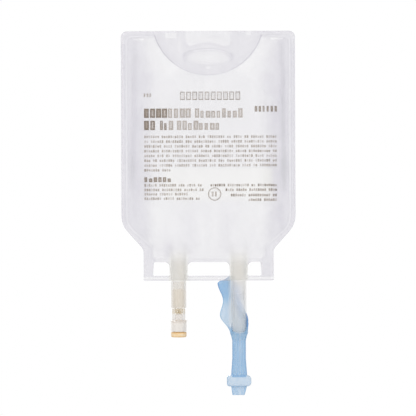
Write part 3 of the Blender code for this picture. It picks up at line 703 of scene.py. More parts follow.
def product(tree, *values):
    total = values[0]
    for value in values[1:]:
        total = wired(tree, "Math", {0: total, 1: value}, operation="MULTIPLY").outputs[0]
    return total


def stored(tree, label):
    """The value that painted() keeps under the label."""
    return wired(tree, "Attribute", {}, attribute_name=label).outputs["Fac"]


def place_in_mm(tree):
    place = wired(tree, "TexCoord", {}).outputs["Object"]
    return wired(tree, "VectorMath", {0: place, "Scale": 1 / MM}, operation="SCALE").outputs[0]


GRAIN_INPUTS = {"Cloud Size": 12.0, "Grain Size": 0.5, "Upright Stretch": 1.0, "Depth": 0.02}
GRAIN_OUTPUTS = {"Clouds": "Float", "Grain": "Float", "Normal": "Vector"}


def moulded_grain():
    """Shared group: slow clouds and fine grain from 0 to 1, and the normal the grain gives."""
    group = bpy.data.node_groups.new("moulded_grain", "ShaderNodeTree")
    for label, value in GRAIN_INPUTS.items():
        socket = group.interface.new_socket(label, in_out="INPUT", socket_type="NodeSocketFloat")
        socket.default_value = value
    for label, kind in GRAIN_OUTPUTS.items():
        group.interface.new_socket(label, in_out="OUTPUT", socket_type="NodeSocket" + kind)
    given = group.nodes.new("NodeGroupInput").outputs
    result = group.nodes.new("NodeGroupOutput")
    place = place_in_mm(group)
    x, y, z = wired(group, "SeparateXYZ", {0: place}).outputs
    upright = wired(group, "Math", {0: z, 1: given["Upright Stretch"]}, operation="DIVIDE")
    stretched = wired(group, "CombineXYZ", {"X": x, "Y": y, "Z": upright.outputs[0]}).outputs[0]
    for size, label, detail, vector in (
        ("Cloud Size", "Clouds", 3.0, stretched),
        ("Grain Size", "Grain", 2.0, place),
    ):
        scale = wired(group, "Math", {0: 1.0, 1: given[size]}, operation="DIVIDE").outputs[0]
        cloud = wired(group, "TexNoise", {"Vector": vector, "Scale": scale, "Detail": detail})
        even = ranged(group, cloud.outputs[0], 0.25, 0.75)
        group.links.new(even, result.inputs[label])
    height = wired(group, "Math", {0: given["Depth"], 1: MM}, operation="MULTIPLY").outputs[0]
    raised = wired(group, "Bump", {"Height": even, "Distance": height})  # over the grain
    group.links.new(raised.outputs[0], result.inputs["Normal"])
    return group


grain_group = moulded_grain()


def plastic(name, roughness, ior, clouds, grain, stretch, depth):
    """A material with the shared grain on its normal, with its tree and the grain's outputs."""
    made = bpy.data.materials.new(name)
    made.use_nodes = True
    tree = made.node_tree
    shader = tree.nodes["Principled BSDF"]
    shader.inputs["Roughness"].default_value = roughness
    shader.inputs["IOR"].default_value = ior
    texture = tree.nodes.new("ShaderNodeGroup")
    texture.node_tree = grain_group
    for label, value in zip(GRAIN_INPUTS, (clouds, grain, stretch, depth)):
        texture.inputs[label].default_value = value
    tree.links.new(texture.outputs["Normal"], shader.inputs["Normal"])
    return made, tree, texture.outputs


def finished(made, sockets):
    """The material with the sockets linked to its shader's inputs of the same names."""
    tree = made.node_tree
    for label, socket in sockets.items():
        tree.links.new(socket, tree.nodes["Principled BSDF"].inputs[label])
    return made


FILM_ALPHA = 0.165  # of one face, where the haze is 1. The eye looks through four
FILM_LIGHT = (0.715, 0.70, 0.735)
FILM_SHADE = (0.665, 0.64, 0.715)
FILM_LINE = (0.42, 0.42, 0.45)
FILM_WARM = (0.78, 0.76, 0.66)


def frosted_film():
    """Pale and see-through; denser and more lilac where the film is hazier and where shade is
    painted, and warm round the tubes.
    """
    made, tree, grain = plastic(
        "frosted_film", roughness=0.4, ior=1.53, clouds=9.0, grain=0.45, stretch=2.2, depth=0.012
    )
    haze_and_shade = stored(tree, "haze_and_shade")
    patches = ranged(tree, grain["Clouds"], 0, 1, 0.90, 1.10)
    specks = ranged(tree, grain["Grain"], 0, 1, 0.93, 1.07)
    alpha = product(tree, haze_and_shade, patches, specks, FILM_ALPHA)
    shade = mixed(tree, ranged(tree, haze_and_shade, 0.7, 1.5), FILM_LIGHT, FILM_SHADE)
    tone = mixed(tree, ranged(tree, haze_and_shade, 1.4, 2.4), shade, FILM_LINE)
    tone = mixed(tree, stored(tree, "warmth"), tone, FILM_WARM)
    dull = ranged(tree, grain["Clouds"], 0, 1, 0.34, 0.5)
    return finished(made, {"Base Color": tone, "Alpha": alpha, "Roughness": dull})


film_finish = frosted_film()
front_mesh, back_mesh = film_mesh("front_film", -1), film_mesh("back_film", 1)
dressed("front_film", front_mesh, "root", "bag_front_film", film_finish)
dressed("back_film", back_mesh, "root", "bag_back_film", film_finish)

# Print: one thin layer of brown-grey ink on the front film, set as plain blocks in the places of
# its lines. The ink is heavy at the left, where the print roller pressed harder, and light beyond.
INK_THICKNESS = 0.02
INK_LIFT = 0.015  # clear of the film under it
PRINT_LEFT = -33.0
PRINT_RIGHT = 35.6
HEAVY_INK = 0.70
LIGHT_INK = 0.36
# Middle height, box height and gap, then each word's ends, boxes, share of tall ones and ink
HEADLINES = (
    (-33.0, 4.8, 0.5, (
        (-33.1, -20.7, 4, 1, HEAVY_INK),
        (-20.7, -8.7, 4, 1, LIGHT_INK),
        (-6.8, 18.3, 9, 0.2, LIGHT_INK),
    )),
    (-39.3, 4.8, 0.5, (
        (-33.1, -26.6, 2, 1, HEAVY_INK),
        (-24.8, -20.6, 2, 0, HEAVY_INK),
        (-20.4, -17.7, 1, 1, LIGHT_INK),
        (-16.1, 6.6, 8, 0.25, LIGHT_INK),
    )),
    (-23.7, 1.8, 0.5, ((-33.2, -28.8, 3, 1, 0.45),)),
    (-30.9, 2.9, 0.75, ((24.0, 36.4, 6, 1, 0.66),)),
    (-67.3, 2.5, 0.7, ((-33.0, -18.7, 6, 0.3, 0.68),)),
)
BOX_WIDTH = (0.72, 1.1)  # as a share of its place
BOX_RIM = 0.32  # as a share of its width
FIELD_INK = (0.3, 0.75)  # inside a box, as a share of its rim's
TALL_TOP = 0.5  # a box's top over the line's middle, as a share of the line's height
LOW_TOP = 0.24
SMALL_HEIGHT = 1.35
SMALL_PITCH = 1.12
SMALL_WIDTH = 0.72  # as a share of the pitch
SMALL_TOPS = (0.5, 0.5, 0.35)
SMALL_INK = (0.45, 1.55)  # as a share of the line's
BODY_TOP = -45.2
BODY_LINE_STEP = 2.46
BODY_LINES = 8
BODY_INK = 0.34
SHORT_LINE_END = -19.2
LEFT_LINES = ((-70.2, -3.2), (-72.6, -2.2), (-74.8, -10.4), (-77.1, -4.2))  # height and right end
RIGHT_LINES = ((-70.2, 1.1), (-72.6, 8.9), (-75.4, 11.6), (-77.8, 20.7))  # height and left end
RIGHT_LINES_INK = 0.5
CODE_MIDDLE = -24.1
CODE_LEFT = -14.5
CODE_PITCH = 3.18
CODE_BOXES = 10
DOTS_ACROSS = 5
DOTS_UP = 7
DOT = 0.46
DOT_STEP = (0.5, 0.64)
RIM_DOT_INK = 0.72
INNER_DOT_INK = 0.14
RING_X = 3.2
RING_Z = -74.8
RING_STEPS = 64
RINGS = ((3.4, 0.36, 0.6), (2.8, 0.18, 0.25))  # radius, line and ink
INK_DEEP = (0.125, 0.084, 0.058)
INK_TAN = (0.25, 0.17, 0.09)
ink_marks = []  # the four corners (x, z) of each block, and how much its ink covers


def bar(x0, x1, z0, z1, cover):
    ink_marks.append((((x0, z0), (x1, z0), (x1, z1), (x0, z1)), cover))


def box_row(left, right, middle, height, gap, count, tall, cover, dice):
    """Plain boxes with a lighter field, in a word's place. tall is the share of full height."""
    pitch = (right - left) / count
    for k in range(count):
        width = (pitch - gap) * dice.uniform(*BOX_WIDTH)
        rim = BOX_RIM * width
        x0 = left + k * pitch
        x1 = x0 + width
        foot = middle - height / 2
        top = middle + height * (TALL_TOP if k == 0 or dice.random() < tall else LOW_TOP)
        bar(x0, x0 + rim, foot, top, cover)
        bar(x1 - rim, x1, foot, top, cover)
        bar(x0 + rim, x1 - rim, foot, foot + rim, cover)
        bar(x0 + rim, x1 - rim, top - rim, top, cover)
        bar(x0 + rim, x1 - rim, foot + rim, top - rim, cover * dice.uniform(*FIELD_INK))


def small_line(left, right, middle, ink, dice):
    """A line of small print: groups of plain blocks, uneven in ink."""
    places = round((right - left) / SMALL_PITCH)
    pitch = (right - left) / places
    gap_in = dice.integers(2, 9)
    for k in range(places):
        if gap_in == 0 and k < places - 2:
            gap_in = dice.integers(2, 11)
            continue
        gap_in -= 1
        x = left + k * pitch
        foot = middle - SMALL_HEIGHT / 2
        top = middle + SMALL_HEIGHT * dice.choice(SMALL_TOPS)
        bar(x, x + SMALL_WIDTH * pitch, foot, top, ink * dice.uniform(*SMALL_INK))


def dotted_boxes(dice):
    """Plain boxes set in dots, as a needle printer sets them."""
    for cell in range(CODE_BOXES):
        for column in range(DOTS_ACROSS):
            for row in range(DOTS_UP):
                on_rim = column in (0, DOTS_ACROSS - 1) or row in (0, DOTS_UP - 1)
                x = CODE_LEFT + cell * CODE_PITCH + column * DOT_STEP[0]
                z = CODE_MIDDLE + (row - DOTS_UP // 2) * DOT_STEP[1]
                ink = RIM_DOT_INK if on_rim else INNER_DOT_INK
                bar(x, x + DOT, z - DOT / 2, z + DOT / 2, ink * dice.uniform(0.6, 1.0))


def ring(radius, line, cover):
    inner = radius - line
    for k in range(RING_STEPS):
        corners = []
        for turn, reach in ((k, inner), (k, radius), (k + 1, radius), (k + 1, inner)):
            angle = math.tau * turn / RING_STEPS
            corners.append((RING_X + reach * math.cos(angle), RING_Z + reach * math.sin(angle)))
        ink_marks.append((corners, cover))


dice = np.random.default_rng(7)
for middle, height, gap, words in HEADLINES:
    for left, right, count, tall, cover in words:
        box_row(left, right, middle, height, gap, count, tall, cover, dice)
dotted_boxes(dice)
for line in range(BODY_LINES):
    right = PRINT_RIGHT if line < BODY_LINES - 1 else SHORT_LINE_END
    small_line(PRINT_LEFT, right, BODY_TOP - line * BODY_LINE_STEP, BODY_INK, dice)
for middle, right in LEFT_LINES:
    small_line(PRINT_LEFT, right, middle, BODY_INK, dice)
for middle, left in RIGHT_LINES:
    small_line(left, PRINT_RIGHT, middle, RIGHT_LINES_INK, dice)
for radius, line, cover in RINGS:
    ring(radius, line, cover)
box_row(RING_X - 1.5, RING_X + 1.8, RING_Z, 2.5, 0.6, 2, 1, 0.45, dice)


def ink_mesh():
    """The blocks as thin boxes, each corner laid over the front film's face."""
    film_tree = BVHTree.FromPolygons(
        [vertex.co / MM for vertex in front_mesh.vertices],
        [tuple(face.vertices) for face in front_mesh.polygons],
    )
    box_faces = ((3, 2, 1, 0), (4, 5, 6, 7), (0, 1, 5, 4), (1, 2, 6, 5), (2, 3, 7, 6), (3, 0, 4, 7))
    vertices, faces = [], []
    for corners, _ in ink_marks:
        faces += [tuple(len(vertices) + i for i in face) for face in box_faces]
        for lift in (INK_LIFT, INK_LIFT + INK_THICKNESS):
            for x, z in corners:
                on_film = film_tree.ray_cast(Vector((x, -30, z)), Vector((0, 1, 0)))[0]
                vertices.append(Vector((x, on_film.y - lift, z)) * MM)
    mesh = bpy.data.meshes.new("print")
    mesh.from_pydata(vertices, [], faces)
    painted(mesh, "cover", np.repeat([cover for _, cover in ink_marks], 8))
    return mesh


def brown_ink():
    """Tan where it is thin and deep brown where it is heavy, with specks that missed the film."""
    made, tree, grain = plastic(
        "brown_grey_ink", roughness=0.55, ior=1.5, clouds=6.0, grain=0.25, stretch=1.0, depth=0.01
    )
    cover = stored(tree, "cover")
    uneven = ranged(tree, grain["Grain"], 0, 1, 0.8, 1)
    heavy = product(tree, ranged(tree, cover, 0.45, 0.9), uneven)
    tone = mixed(tree, heavy, INK_TAN, INK_DEEP)
    patches = ranged(tree, grain["Clouds"], 0, 1, 0.8, 1.0)
    specks = ranged(tree, grain["Grain"], 0.1, 0.6, 0.8, 1.0)
    return finished(made, {"Base Color": tone, "Alpha": product(tree, cover, patches, specks)})


hung("print", ink_mesh(), "root", brown_ink())

# Port tubes: two soft milky tubes, welded between the films. The left one holds the injection
# sleeve, and the right one narrows at its end inside the protector, with a thin membrane across it.
TUBE_BORE = 3.1
TUBE_EDGE = 0.2  # rounding of turned edges
TUBE_TAPER = 0.4
TUBE_TAPER_LENGTH = 12.0
TUBE_TIP_EDGE = 0.1
MEMBRANE_RADIUS = 2.8
MEMBRANE_WALL = 0.4
MEMBRANE_EDGE = 0.12
SPIN_STEPS = 96
ON_AXIS = 1e-6
TURNED_CREASE = math.radians(40)
TUBE_MILKY = (0.745, 0.745, 0.755)
TUBE_CREAMY = (0.81, 0.735, 0.62)
TUBE_BLUE = (0.46, 0.57, 0.76)
STEM_TINT = (0.80, 0.73, 0.63)
# Paler tint of the tube's end inside the sheath: painted light that makes up for the shade in there
TUBE_IN_SHEATH_PAINTED_LIGHT = (0.88, 0.895, 0.885)
BLUE_SLANT = 0.16  # how far the blue band leans to the right for each millimetre down
BLUE_BAND_DOWN = 9  # where it crosses BLUE_BAND_X, below the skirt's foot
BLUE_BAND_X = PORT_X - 0.8

medication_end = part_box("medication_port_tube")[0].z / MM
administration_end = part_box("administration_port_tube")[0].z / MM
stem_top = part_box("injection_site_sleeve")[1].z / MM
membrane_low, membrane_high = (corner.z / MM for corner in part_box("port_membrane"))
tube_tip = TUBE_RADIUS - TUBE_TAPER


def closed_mesh(name, solid):
    """The bmesh as a mesh, with its faces turned outwards."""
    bmesh.ops.recalc_face_normals(solid, faces=solid.faces)
    mesh = bpy.data.meshes.new(name)
    solid.to_mesh(mesh)
    solid.free()
    return mesh


def circle(x, z, radius):
    """Points round the upright line at x."""
    turns = [math.tau * k / SPIN_STEPS for k in range(SPIN_STEPS)]
    return [Vector((x + radius * math.cos(turn), radius * math.sin(turn), z)) for turn in turns]


def turned(name, corners, x, node, finish):
    """Solid of (radius, z, rounding) corners spun round the upright line at x, for the node."""
    solid = bmesh.new()
    profile = rounded(corners)
    rings = []
    for radius, z in profile:
        if radius < ON_AXIS:
            rings.append([solid.verts.new(Vector((x, 0, z)) * MM)] * SPIN_STEPS)
        else:
            rings.append([solid.verts.new(point * MM) for point in circle(x, z, radius)])
    pairs = list(zip(rings, rings[1:]))
    if profile[0].x > ON_AXIS:
        pairs.append((rings[-1], rings[0]))
    for one, two in pairs:
        for k in range(SPIN_STEPS):
            j = (k + 1) % SPIN_STEPS
            around = dict.fromkeys((one[k], one[j], two[j], two[k]))
            if len(around) > 2:
                solid.faces.new(tuple(around))
    mesh = closed_mesh(name, solid)
    mesh.shade_smooth()
    mesh.set_sharp_from_angle(angle=TURNED_CREASE)
    dressed(name, mesh, "root", node, finish)


def frame_axes(tree):
    """Sockets of the place on the object: X, Y and Z in millimetres."""
    return wired(tree, "SeparateXYZ", {0: place_in_mm(tree)}).outputs


def facing_away(tree, blend):
    """How far a wall turns away from the eye. It serves only for how much a clear wall hides."""
    return wired(tree, "LayerWeight", {"Blend": blend}).outputs["Facing"]


def milky_tube(name, in_bag, outside, at_end, tint, end_from, end_to, blue=0):
    """Streaky soft tube. in_bag, outside and at_end say how much a wall hides in each stretch.

    The tint comes in between the heights end_from and end_to. blue says how much of the sheath's
    colour the wall takes up, in a slanting band below the skirt.
    """
    made, tree, grain = plastic(
        name, roughness=0.3, ior=1.53, clouds=1.3, grain=0.35, stretch=16.0, depth=0.006
    )
    x, _, z = frame_axes(tree)
    below_skirt = ranged(tree, z, FOOT, FOOT - 1, in_bag, outside)
    ending = ranged(tree, z, end_from, end_to)
    cloudy = ranged(tree, ending, 0, 1, below_skirt, at_end)
    clear = ranged(tree, facing_away(tree, 0.35), 0.35, 1.0, cloudy, 0.5)
    streaks = ranged(tree, grain["Clouds"], 0, 1, 0.78, 1.22)
    in_film = ranged(tree, z, TUBE_TOP, TUBE_TOP - 7, 0.12, 1)
    alpha = product(tree, clear, streaks, in_film)
    tone = mixed(tree, ending, mixed(tree, grain["Clouds"], TUBE_MILKY, TUBE_CREAMY), tint)
    if blue:
        slanted = wired(tree, "Math", {0: z, 1: BLUE_SLANT, 2: x}, operation="MULTIPLY_ADD")
        leaning = slanted.outputs[0]
        middle = BLUE_BAND_X + BLUE_SLANT * (FOOT - BLUE_BAND_DOWN)
        band = product(
            tree,
            ranged(tree, leaning, middle - 2.4, middle, 0.15 * blue, blue),
            ranged(tree, leaning, middle + 4.2, middle + 0.6, 0.25, 1),
            ranged(tree, z, FOOT + 1, FOOT - 4),
            ranged(tree, z, FOOT - 24, FOOT - 14),
            ranged(tree, grain["Clouds"], 0.2, 0.8, 0.6, 1.3),
        )
        tone = mixed(tree, band, tone, TUBE_BLUE)
    return finished(made, {"Base Color": tone, "Alpha": alpha})


turned(
    "medication_tube",
    [
        (TUBE_BORE, TUBE_TOP, TUBE_EDGE),
        (TUBE_RADIUS, TUBE_TOP, TUBE_EDGE),
        (TUBE_RADIUS, medication_end, TUBE_EDGE),
        (TUBE_BORE, medication_end, TUBE_EDGE),
    ],
    -PORT_X,
    "medication_port_tube",
    milky_tube("tube_over_stem", 0.17, 0.30, 0.34, STEM_TINT, stem_top + 0.2, stem_top - 0.2),
)
turned(
    "administration_tube",
    [
        (TUBE_BORE, TUBE_TOP, TUBE_EDGE),
        (TUBE_RADIUS, TUBE_TOP, TUBE_EDGE),
        (TUBE_RADIUS, administration_end + TUBE_TAPER_LENGTH, 0),
        (tube_tip, administration_end, TUBE_TIP_EDGE),
        (TUBE_BORE, administration_end, TUBE_TIP_EDGE),
    ],
    PORT_X,
    "administration_port_tube",
    milky_tube("tube_in_sheath", 0.17, 0.26, 0.245, TUBE_IN_SHEATH_PAINTED_LIGHT, FOOT - 5, FOOT - 23, blue=0.62),
)
turned(
    "membrane",
    [
        (0, membrane_high, 0),
        (MEMBRANE_RADIUS, membrane_high, 0.25),
        (MEMBRANE_RADIUS, membrane_low, MEMBRANE_EDGE),
        (MEMBRANE_RADIUS - MEMBRANE_WALL, membrane_low, MEMBRANE_EDGE),
        (MEMBRANE_RADIUS - MEMBRANE_WALL, membrane_high - MEMBRANE_WALL, 0.2),
        (0, membrane_high - MEMBRANE_WALL, 0),
    ],
    PORT_X,
    "port_membrane",
    milky_tube("thin_membrane", 0.05, 0.05, 0.05, TUBE_MILKY, FOOT + 1, FOOT - 1),
)

# Injection sleeve: one turned clear moulding. Its stem sits in the left tube, then come a neck, a
# thin flange and a cup, and a cone-shaped web closes its bore. A tan rubber septum fills the cup.
STEM_RADIUS = 2.8
STEM_BORE = 2.05
STEM_LENGTH = 10.0
NECK_RADIUS = 3.35
NECK_FOOT = 0.25  # rounded foot of the neck over the flange
FLANGE_RADIUS = 4.5
FLANGE_THICKNESS = 0.7
CUP_RADIUS = 4.0
CUP_WALL = 0.75
CUP_DEPTH = 5.0
WEB = 0.5
WEB_CONE = 2.4
SEPTUM_PLUG = 4.0
SEPTUM_PLUG_RADIUS = 2.95
SEPTUM_ROUNDING = 0.8
HEAD_OVERLAP = 0.3  # of the septum's head over the cup's rim
DIMPLE = 0.18
DIMPLE_RIM = (1.4, 1.7)  # where the dimple in the head starts and ends, in from its side
SLEEVE_NECK = (0.885, 0.83, 0.775)
SLEEVE_CUP = (0.94, 0.89, 0.835)
SLEEVE_FLANGE = (0.85, 0.775, 0.70)
SLEEVE_GOLD = (0.71, 0.59, 0.40)
SLEEVE_STEM = (0.82, 0.70, 0.50)
RUBBER_DEEP = (0.84, 0.53, 0.22)
RUBBER_TAN = (0.90, 0.62, 0.31)
RUBBER_PAINTED_HIGHLIGHT = (0.93, 0.78, 0.56)

cup_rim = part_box("injection_site_sleeve")[0].z / MM
septum_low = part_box("injection_septum")[0].z / MM
neck_top = stem_top - STEM_LENGTH
cup_top = cup_rim + CUP_DEPTH
flange_top = cup_top + FLANGE_THICKNESS
web_peak = neck_top - WEB
web_foot = web_peak - WEB_CONE


def clear_sleeve():
    """Clear neck, gold where the web is, a cloudy cup, and a tan stem inside the tube."""
    made, tree, grain = plastic(
        "clear_sleeve", roughness=0.16, ior=1.5, clouds=2.0, grain=0.3, stretch=3.0, depth=0.004
    )
    z = frame_axes(tree)["Z"]
    golden = product(
        tree,
        ranged(tree, z, neck_top + 1, neck_top - 0.2),
        ranged(tree, z, web_foot - 0.4, web_foot + 0.6),
    )
    flange = product(
        tree,
        ranged(tree, z, flange_top + 0.6, flange_top + 0.1),
        ranged(tree, z, cup_top - 0.9, cup_top - 0.1, 0, 0.8),
    )
    in_tube = ranged(tree, z, neck_top - 0.1, neck_top + 0.1)
    cup = ranged(tree, z, flange_top + 0.3, flange_top - 0.4)
    tone = mixed(tree, golden, mixed(tree, cup, SLEEVE_NECK, SLEEVE_CUP), SLEEVE_GOLD)
    tone = mixed(tree, in_tube, mixed(tree, flange, tone, SLEEVE_FLANGE), SLEEVE_STEM)
    alpha = product(
        tree,
        ranged(tree, facing_away(tree, 0.4), 0.25, 1.0, 0.28, 0.62),
        ranged(tree, golden, 0, 1, 1, 1.15),
        ranged(tree, cup, 0, 1, 1.0, 3.0),
        ranged(tree, in_tube, 0, 1, 1.0, 0.15),
        ranged(tree, grain["Clouds"], 0, 1, 0.95, 1.05),
    )
    return finished(made, {"Base Color": tone, "Alpha": alpha})


def tan_rubber():
    """Orange-tan, with an uneven painted highlight in a band round the middle of the head."""
    made, tree, grain = plastic(
        "tan_rubber", roughness=0.45, ior=1.5, clouds=1.6, grain=0.3, stretch=1.0, depth=0.01
    )
    z = frame_axes(tree)["Z"]
    # Painted highlight in a band round the middle of the head
    band = product(
        tree,
        ranged(tree, z, septum_low + 0.3, septum_low + 0.9),
        ranged(tree, z, septum_low + 2.2, septum_low + 1.7),
        ranged(tree, grain["Clouds"], 0.2, 0.8, 0.35, 1.0),
    )
    mottle = mixed(tree, grain["Clouds"], RUBBER_DEEP, RUBBER_TAN)
    tone = mixed(tree, band, mottle, RUBBER_PAINTED_HIGHLIGHT)
    dull = ranged(tree, grain["Grain"], 0, 1, 0.4, 0.6)
    return finished(made, {"Base Color": tone, "Roughness": dull})


turned(
    "injection_sleeve",
    [
        (0, web_peak, 0),
        (STEM_BORE, web_foot, 0.3),
        (STEM_BORE, stem_top, 0.2),
        (STEM_RADIUS, stem_top, 0.25),
        (STEM_RADIUS, neck_top, 0),
        (NECK_RADIUS, neck_top, 0.2),
        (NECK_RADIUS, flange_top + NECK_FOOT, 0.5),
        (FLANGE_RADIUS, flange_top, 0.2),
        (CUP_RADIUS, cup_top, 0.25),
        (CUP_RADIUS, cup_rim, 0.2),
        (CUP_RADIUS - CUP_WALL, cup_rim, 0.2),
        (CUP_RADIUS - CUP_WALL, cup_top, 0.3),
        (STEM_BORE, flange_top, 0.2),
        (STEM_BORE, web_foot - WEB, 0.3),
        (0, web_peak - WEB, 0),
    ],
    -PORT_X,
    "injection_site_sleeve",
    clear_sleeve(),
)
turned(
    "septum",
    [
        (0, cup_rim + SEPTUM_PLUG, 0),
        (SEPTUM_PLUG_RADIUS, cup_rim + SEPTUM_PLUG, 0.4),
        (SEPTUM_PLUG_RADIUS, cup_rim - HEAD_OVERLAP, 0),
        (CUP_RADIUS, cup_rim - HEAD_OVERLAP, 0.25),
        (CUP_RADIUS, septum_low, SEPTUM_ROUNDING),
        (CUP_RADIUS - DIMPLE_RIM[0], septum_low, 0.3),
        (CUP_RADIUS - DIMPLE_RIM[1], septum_low + DIMPLE, 0.3),
        (0, septum_low + DIMPLE, 0),
    ],
    -PORT_X,
    "injection_septum",
    tan_rubber(),
)

# Port protector: one blue moulding. A curved wing lies behind the tube, a round socket with a
# scooped front edge holds the tube's end, and a ribbed stem runs to a grip bar and a flat tail.
SHEATH_WALL = 0.85
SHEATH_GAP = 0.3
WING_OVERLAP = 2.3
SOCKET_HEIGHT = 5.0
SOCKET_FLARE = 0.35
FLARE_END = 2.0  # over the tube's tip
SOCKET_FLOOR = 0.4
LIP_HEIGHT = 0.4
LIP_SIDE_HEIGHT = 4.5
SCOOP_BACK = 0.25  # how far in front of the tube's middle the scoop ends
SCOOP_REACH = 12
SCOOP_STEPS = 12
STEM_HALF_DEPTH = 1.6
STEM_HALF_WIDTH = 3.5
STEM_SPREAD = 0.7
STEM_DROP = 22.0
STEM_NECK = (0.07, 0.18)  # shares of the drop where the socket is half and wholly a stem
STEM_WIDENS = 0.6  # share of the drop where the stem starts to widen
STEM_SQUARENESS = 0.45
STEM_STEPS = 160
RIB_ZONE = 0.95
RIB_COUNT = 5
RIB_HEIGHT = 0.28
INTO_GRIP = 0.7  # how far the stem and the tail run into the grip bar
GRIP_HALF = 6.3
GRIP_HEIGHT = 5.5
GRIP_HALF_DEPTH = 3.2
GRIP_ROUNDING = 1.3
GRIP_BEVEL = ((0, 0.7), (0.2, 0.3), (0.7, 0))  # depth and inset along its long edges
TAIL_HALF_DEPTH = 1.1
TAIL_TAPER = 0.7
TAIL_ROUNDING = 0.4
WING_WAIST = 8.2
WING_TIP = 2.8
WING_HIP = 1.6
WING_TURN = 0.8
WING_TURN_DELAY = 2.6
WING_CORNER_DROP = 2.4
WING_CORNER = 0.125
WING_CRADLE = 0.62
WING_BEND = 0.45
WING_LEAVES = math.radians(150)
WING_RIGHT_TOP = math.radians(100)
WING_RIGHT_LOW = math.radians(-8)
WING_EASE = 6.0
SKIRT_BACK = 0.5
CLEAR_OF_SKIRT = 0.9
WING_ROWS = 80
WING_COLUMNS = 50
VOXEL = 0.2
SHELF = 0.4  # height of the slices whose two sides are looked for
STEM_BLUE = 0.52
GRIP_BLUE = 0.10
# Painted highlights along the stem's ribs
STEM_RIB_HIGHLIGHTS = ((0.5, 0.5, -0.20), (-1.6, 0.3, -0.1), (2.0, 0.3, -0.08))  # x, half width, blue
SHEATH_TONES = (  # from nearly white, through the stem's blue, to the deep blue of the edges
    (0.68, 0.79, 0.89),
    (0.48, 0.65, 0.82),
    (0.30, 0.545, 0.785),
    (0.19, 0.44, 0.74),
    (0.07, 0.29, 0.65),
)

wing_height = FOOT - administration_end + WING_OVERLAP
socket_radius = tube_tip + SHEATH_GAP + SHEATH_WALL
wing_reach = (  # share of the height, and how far the free edge stands from the port's middle
    (1.0, WING_WAIST + WING_HIP),
    (0.875, WING_WAIST + WING_TIP),
    (0.565, WING_WAIST),
    (0.31, WING_WAIST + WING_HIP),
    (0.0, socket_radius),
)
grip_top = administration_end - STEM_DROP
grip_low = grip_top - GRIP_HEIGHT
tail_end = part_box("port_protector")[0].z / MM


def tube_radius_at(z):
    share = (administration_end + TUBE_TAPER_LENGTH - z) / TUBE_TAPER_LENGTH
    return TUBE_RADIUS - TUBE_TAPER * min(1, max(0, share))


def cradle_radius(z):
    """The wing's inside clears the film round the tube, and lower down the tube alone."""
    wide = TUBE_RADIUS + FILM + 2 * SHEATH_GAP
    hugging = tube_radius_at(z) + SHEATH_GAP
    share = (FOOT - CLEAR_OF_SKIRT - z) / WING_EASE
    return wide + (hugging - wide) * min(1, max(0, share))


def wing_edge(share):
    """Distance of the wing's free edge from the port's middle line."""
    for (high, upper), (low, lower) in zip(wing_reach, wing_reach[1:]):
        if share >= low:
            return upper + (lower - upper) * float(rising(share, high, low))
    return socket_radius


def wing_point(across, down, outwards):
    """Point on the wing's inner (0) or outer (1) face: behind the tube, then to the free edge."""
    turned_share = min(1, down / WING_TURN) ** WING_TURN_DELAY
    right_end = WING_RIGHT_TOP + (WING_RIGHT_LOW - WING_RIGHT_TOP) * turned_share
    z = administration_end + wing_height * (1 - down)
    shift = SHEATH_WALL * outwards
    radius = cradle_radius(z) + shift
    if across < WING_CRADLE:
        angle = right_end + (WING_LEAVES - right_end) * across / WING_CRADLE
        return Vector((PORT_X + radius * math.cos(angle), radius * math.sin(angle), z))
    share = (across - WING_CRADLE) / (1 - WING_CRADLE)
    start = Vector((math.cos(WING_LEAVES), math.sin(WING_LEAVES))) * radius
    tangent = Vector((-start.y, start.x)).normalized()
    end = Vector((-wing_edge(1 - down), SKIRT_BACK + SHEATH_GAP + shift))
    bend = start + tangent * (end - start).length * WING_BEND
    spot = start * (1 - share) ** 2 + bend * 2 * share * (1 - share) + end * share**2
    corner = WING_CORNER_DROP * float(rising(share, 0, 1)) * max(0, 1 - down / WING_CORNER)
    return Vector((PORT_X + spot.x, spot.y, z - corner))


def skin(name, loops):
    """Closed solid over loops of equal count."""
    solid = bmesh.new()
    rings = [[solid.verts.new(point) for point in loop] for loop in loops]
    solid.faces.new(rings[0])
    solid.faces.new(rings[-1])
    for one, two in zip(rings, rings[1:]):
        for i in range(len(one)):
            j = (i + 1) % len(one)
            solid.faces.new((one[i], one[j], two[j], two[i]))
    return closed_mesh(name, solid)


def working_object(mesh):
    made = bpy.data.objects.new(mesh.name, mesh)
    scene.collection.objects.link(made)
    return made


def settled(piece):
    """The mesh of a working object with its modifiers applied. The object goes."""
    bpy.context.view_layer.update()
    depsgraph = bpy.context.evaluated_depsgraph_get()
    mesh = bpy.data.meshes.new_from_object(piece.evaluated_get(depsgraph))
    bpy.data.objects.remove(piece)
    return mesh


def stem_loop(z, half_width, half_depth, flatness):
    """One outline of the stem: round where the flatness is 0, flat and ribbed where it is 1."""
    loop = []
    for k in range(STEM_STEPS):
        angle = math.tau * k / STEM_STEPS
        power = 1 - STEM_SQUARENESS * flatness
        across = math.copysign(abs(math.cos(angle)) ** power, math.cos(angle))
        depth = half_depth * abs(math.sin(angle)) ** power
        if abs(across) < RIB_ZONE:
            depth += RIB_HEIGHT * flatness * math.cos(math.pi * RIB_COUNT * across)
        loop.append((PORT_X + half_width * across, math.copysign(depth, math.sin(angle)), z))
    return loop


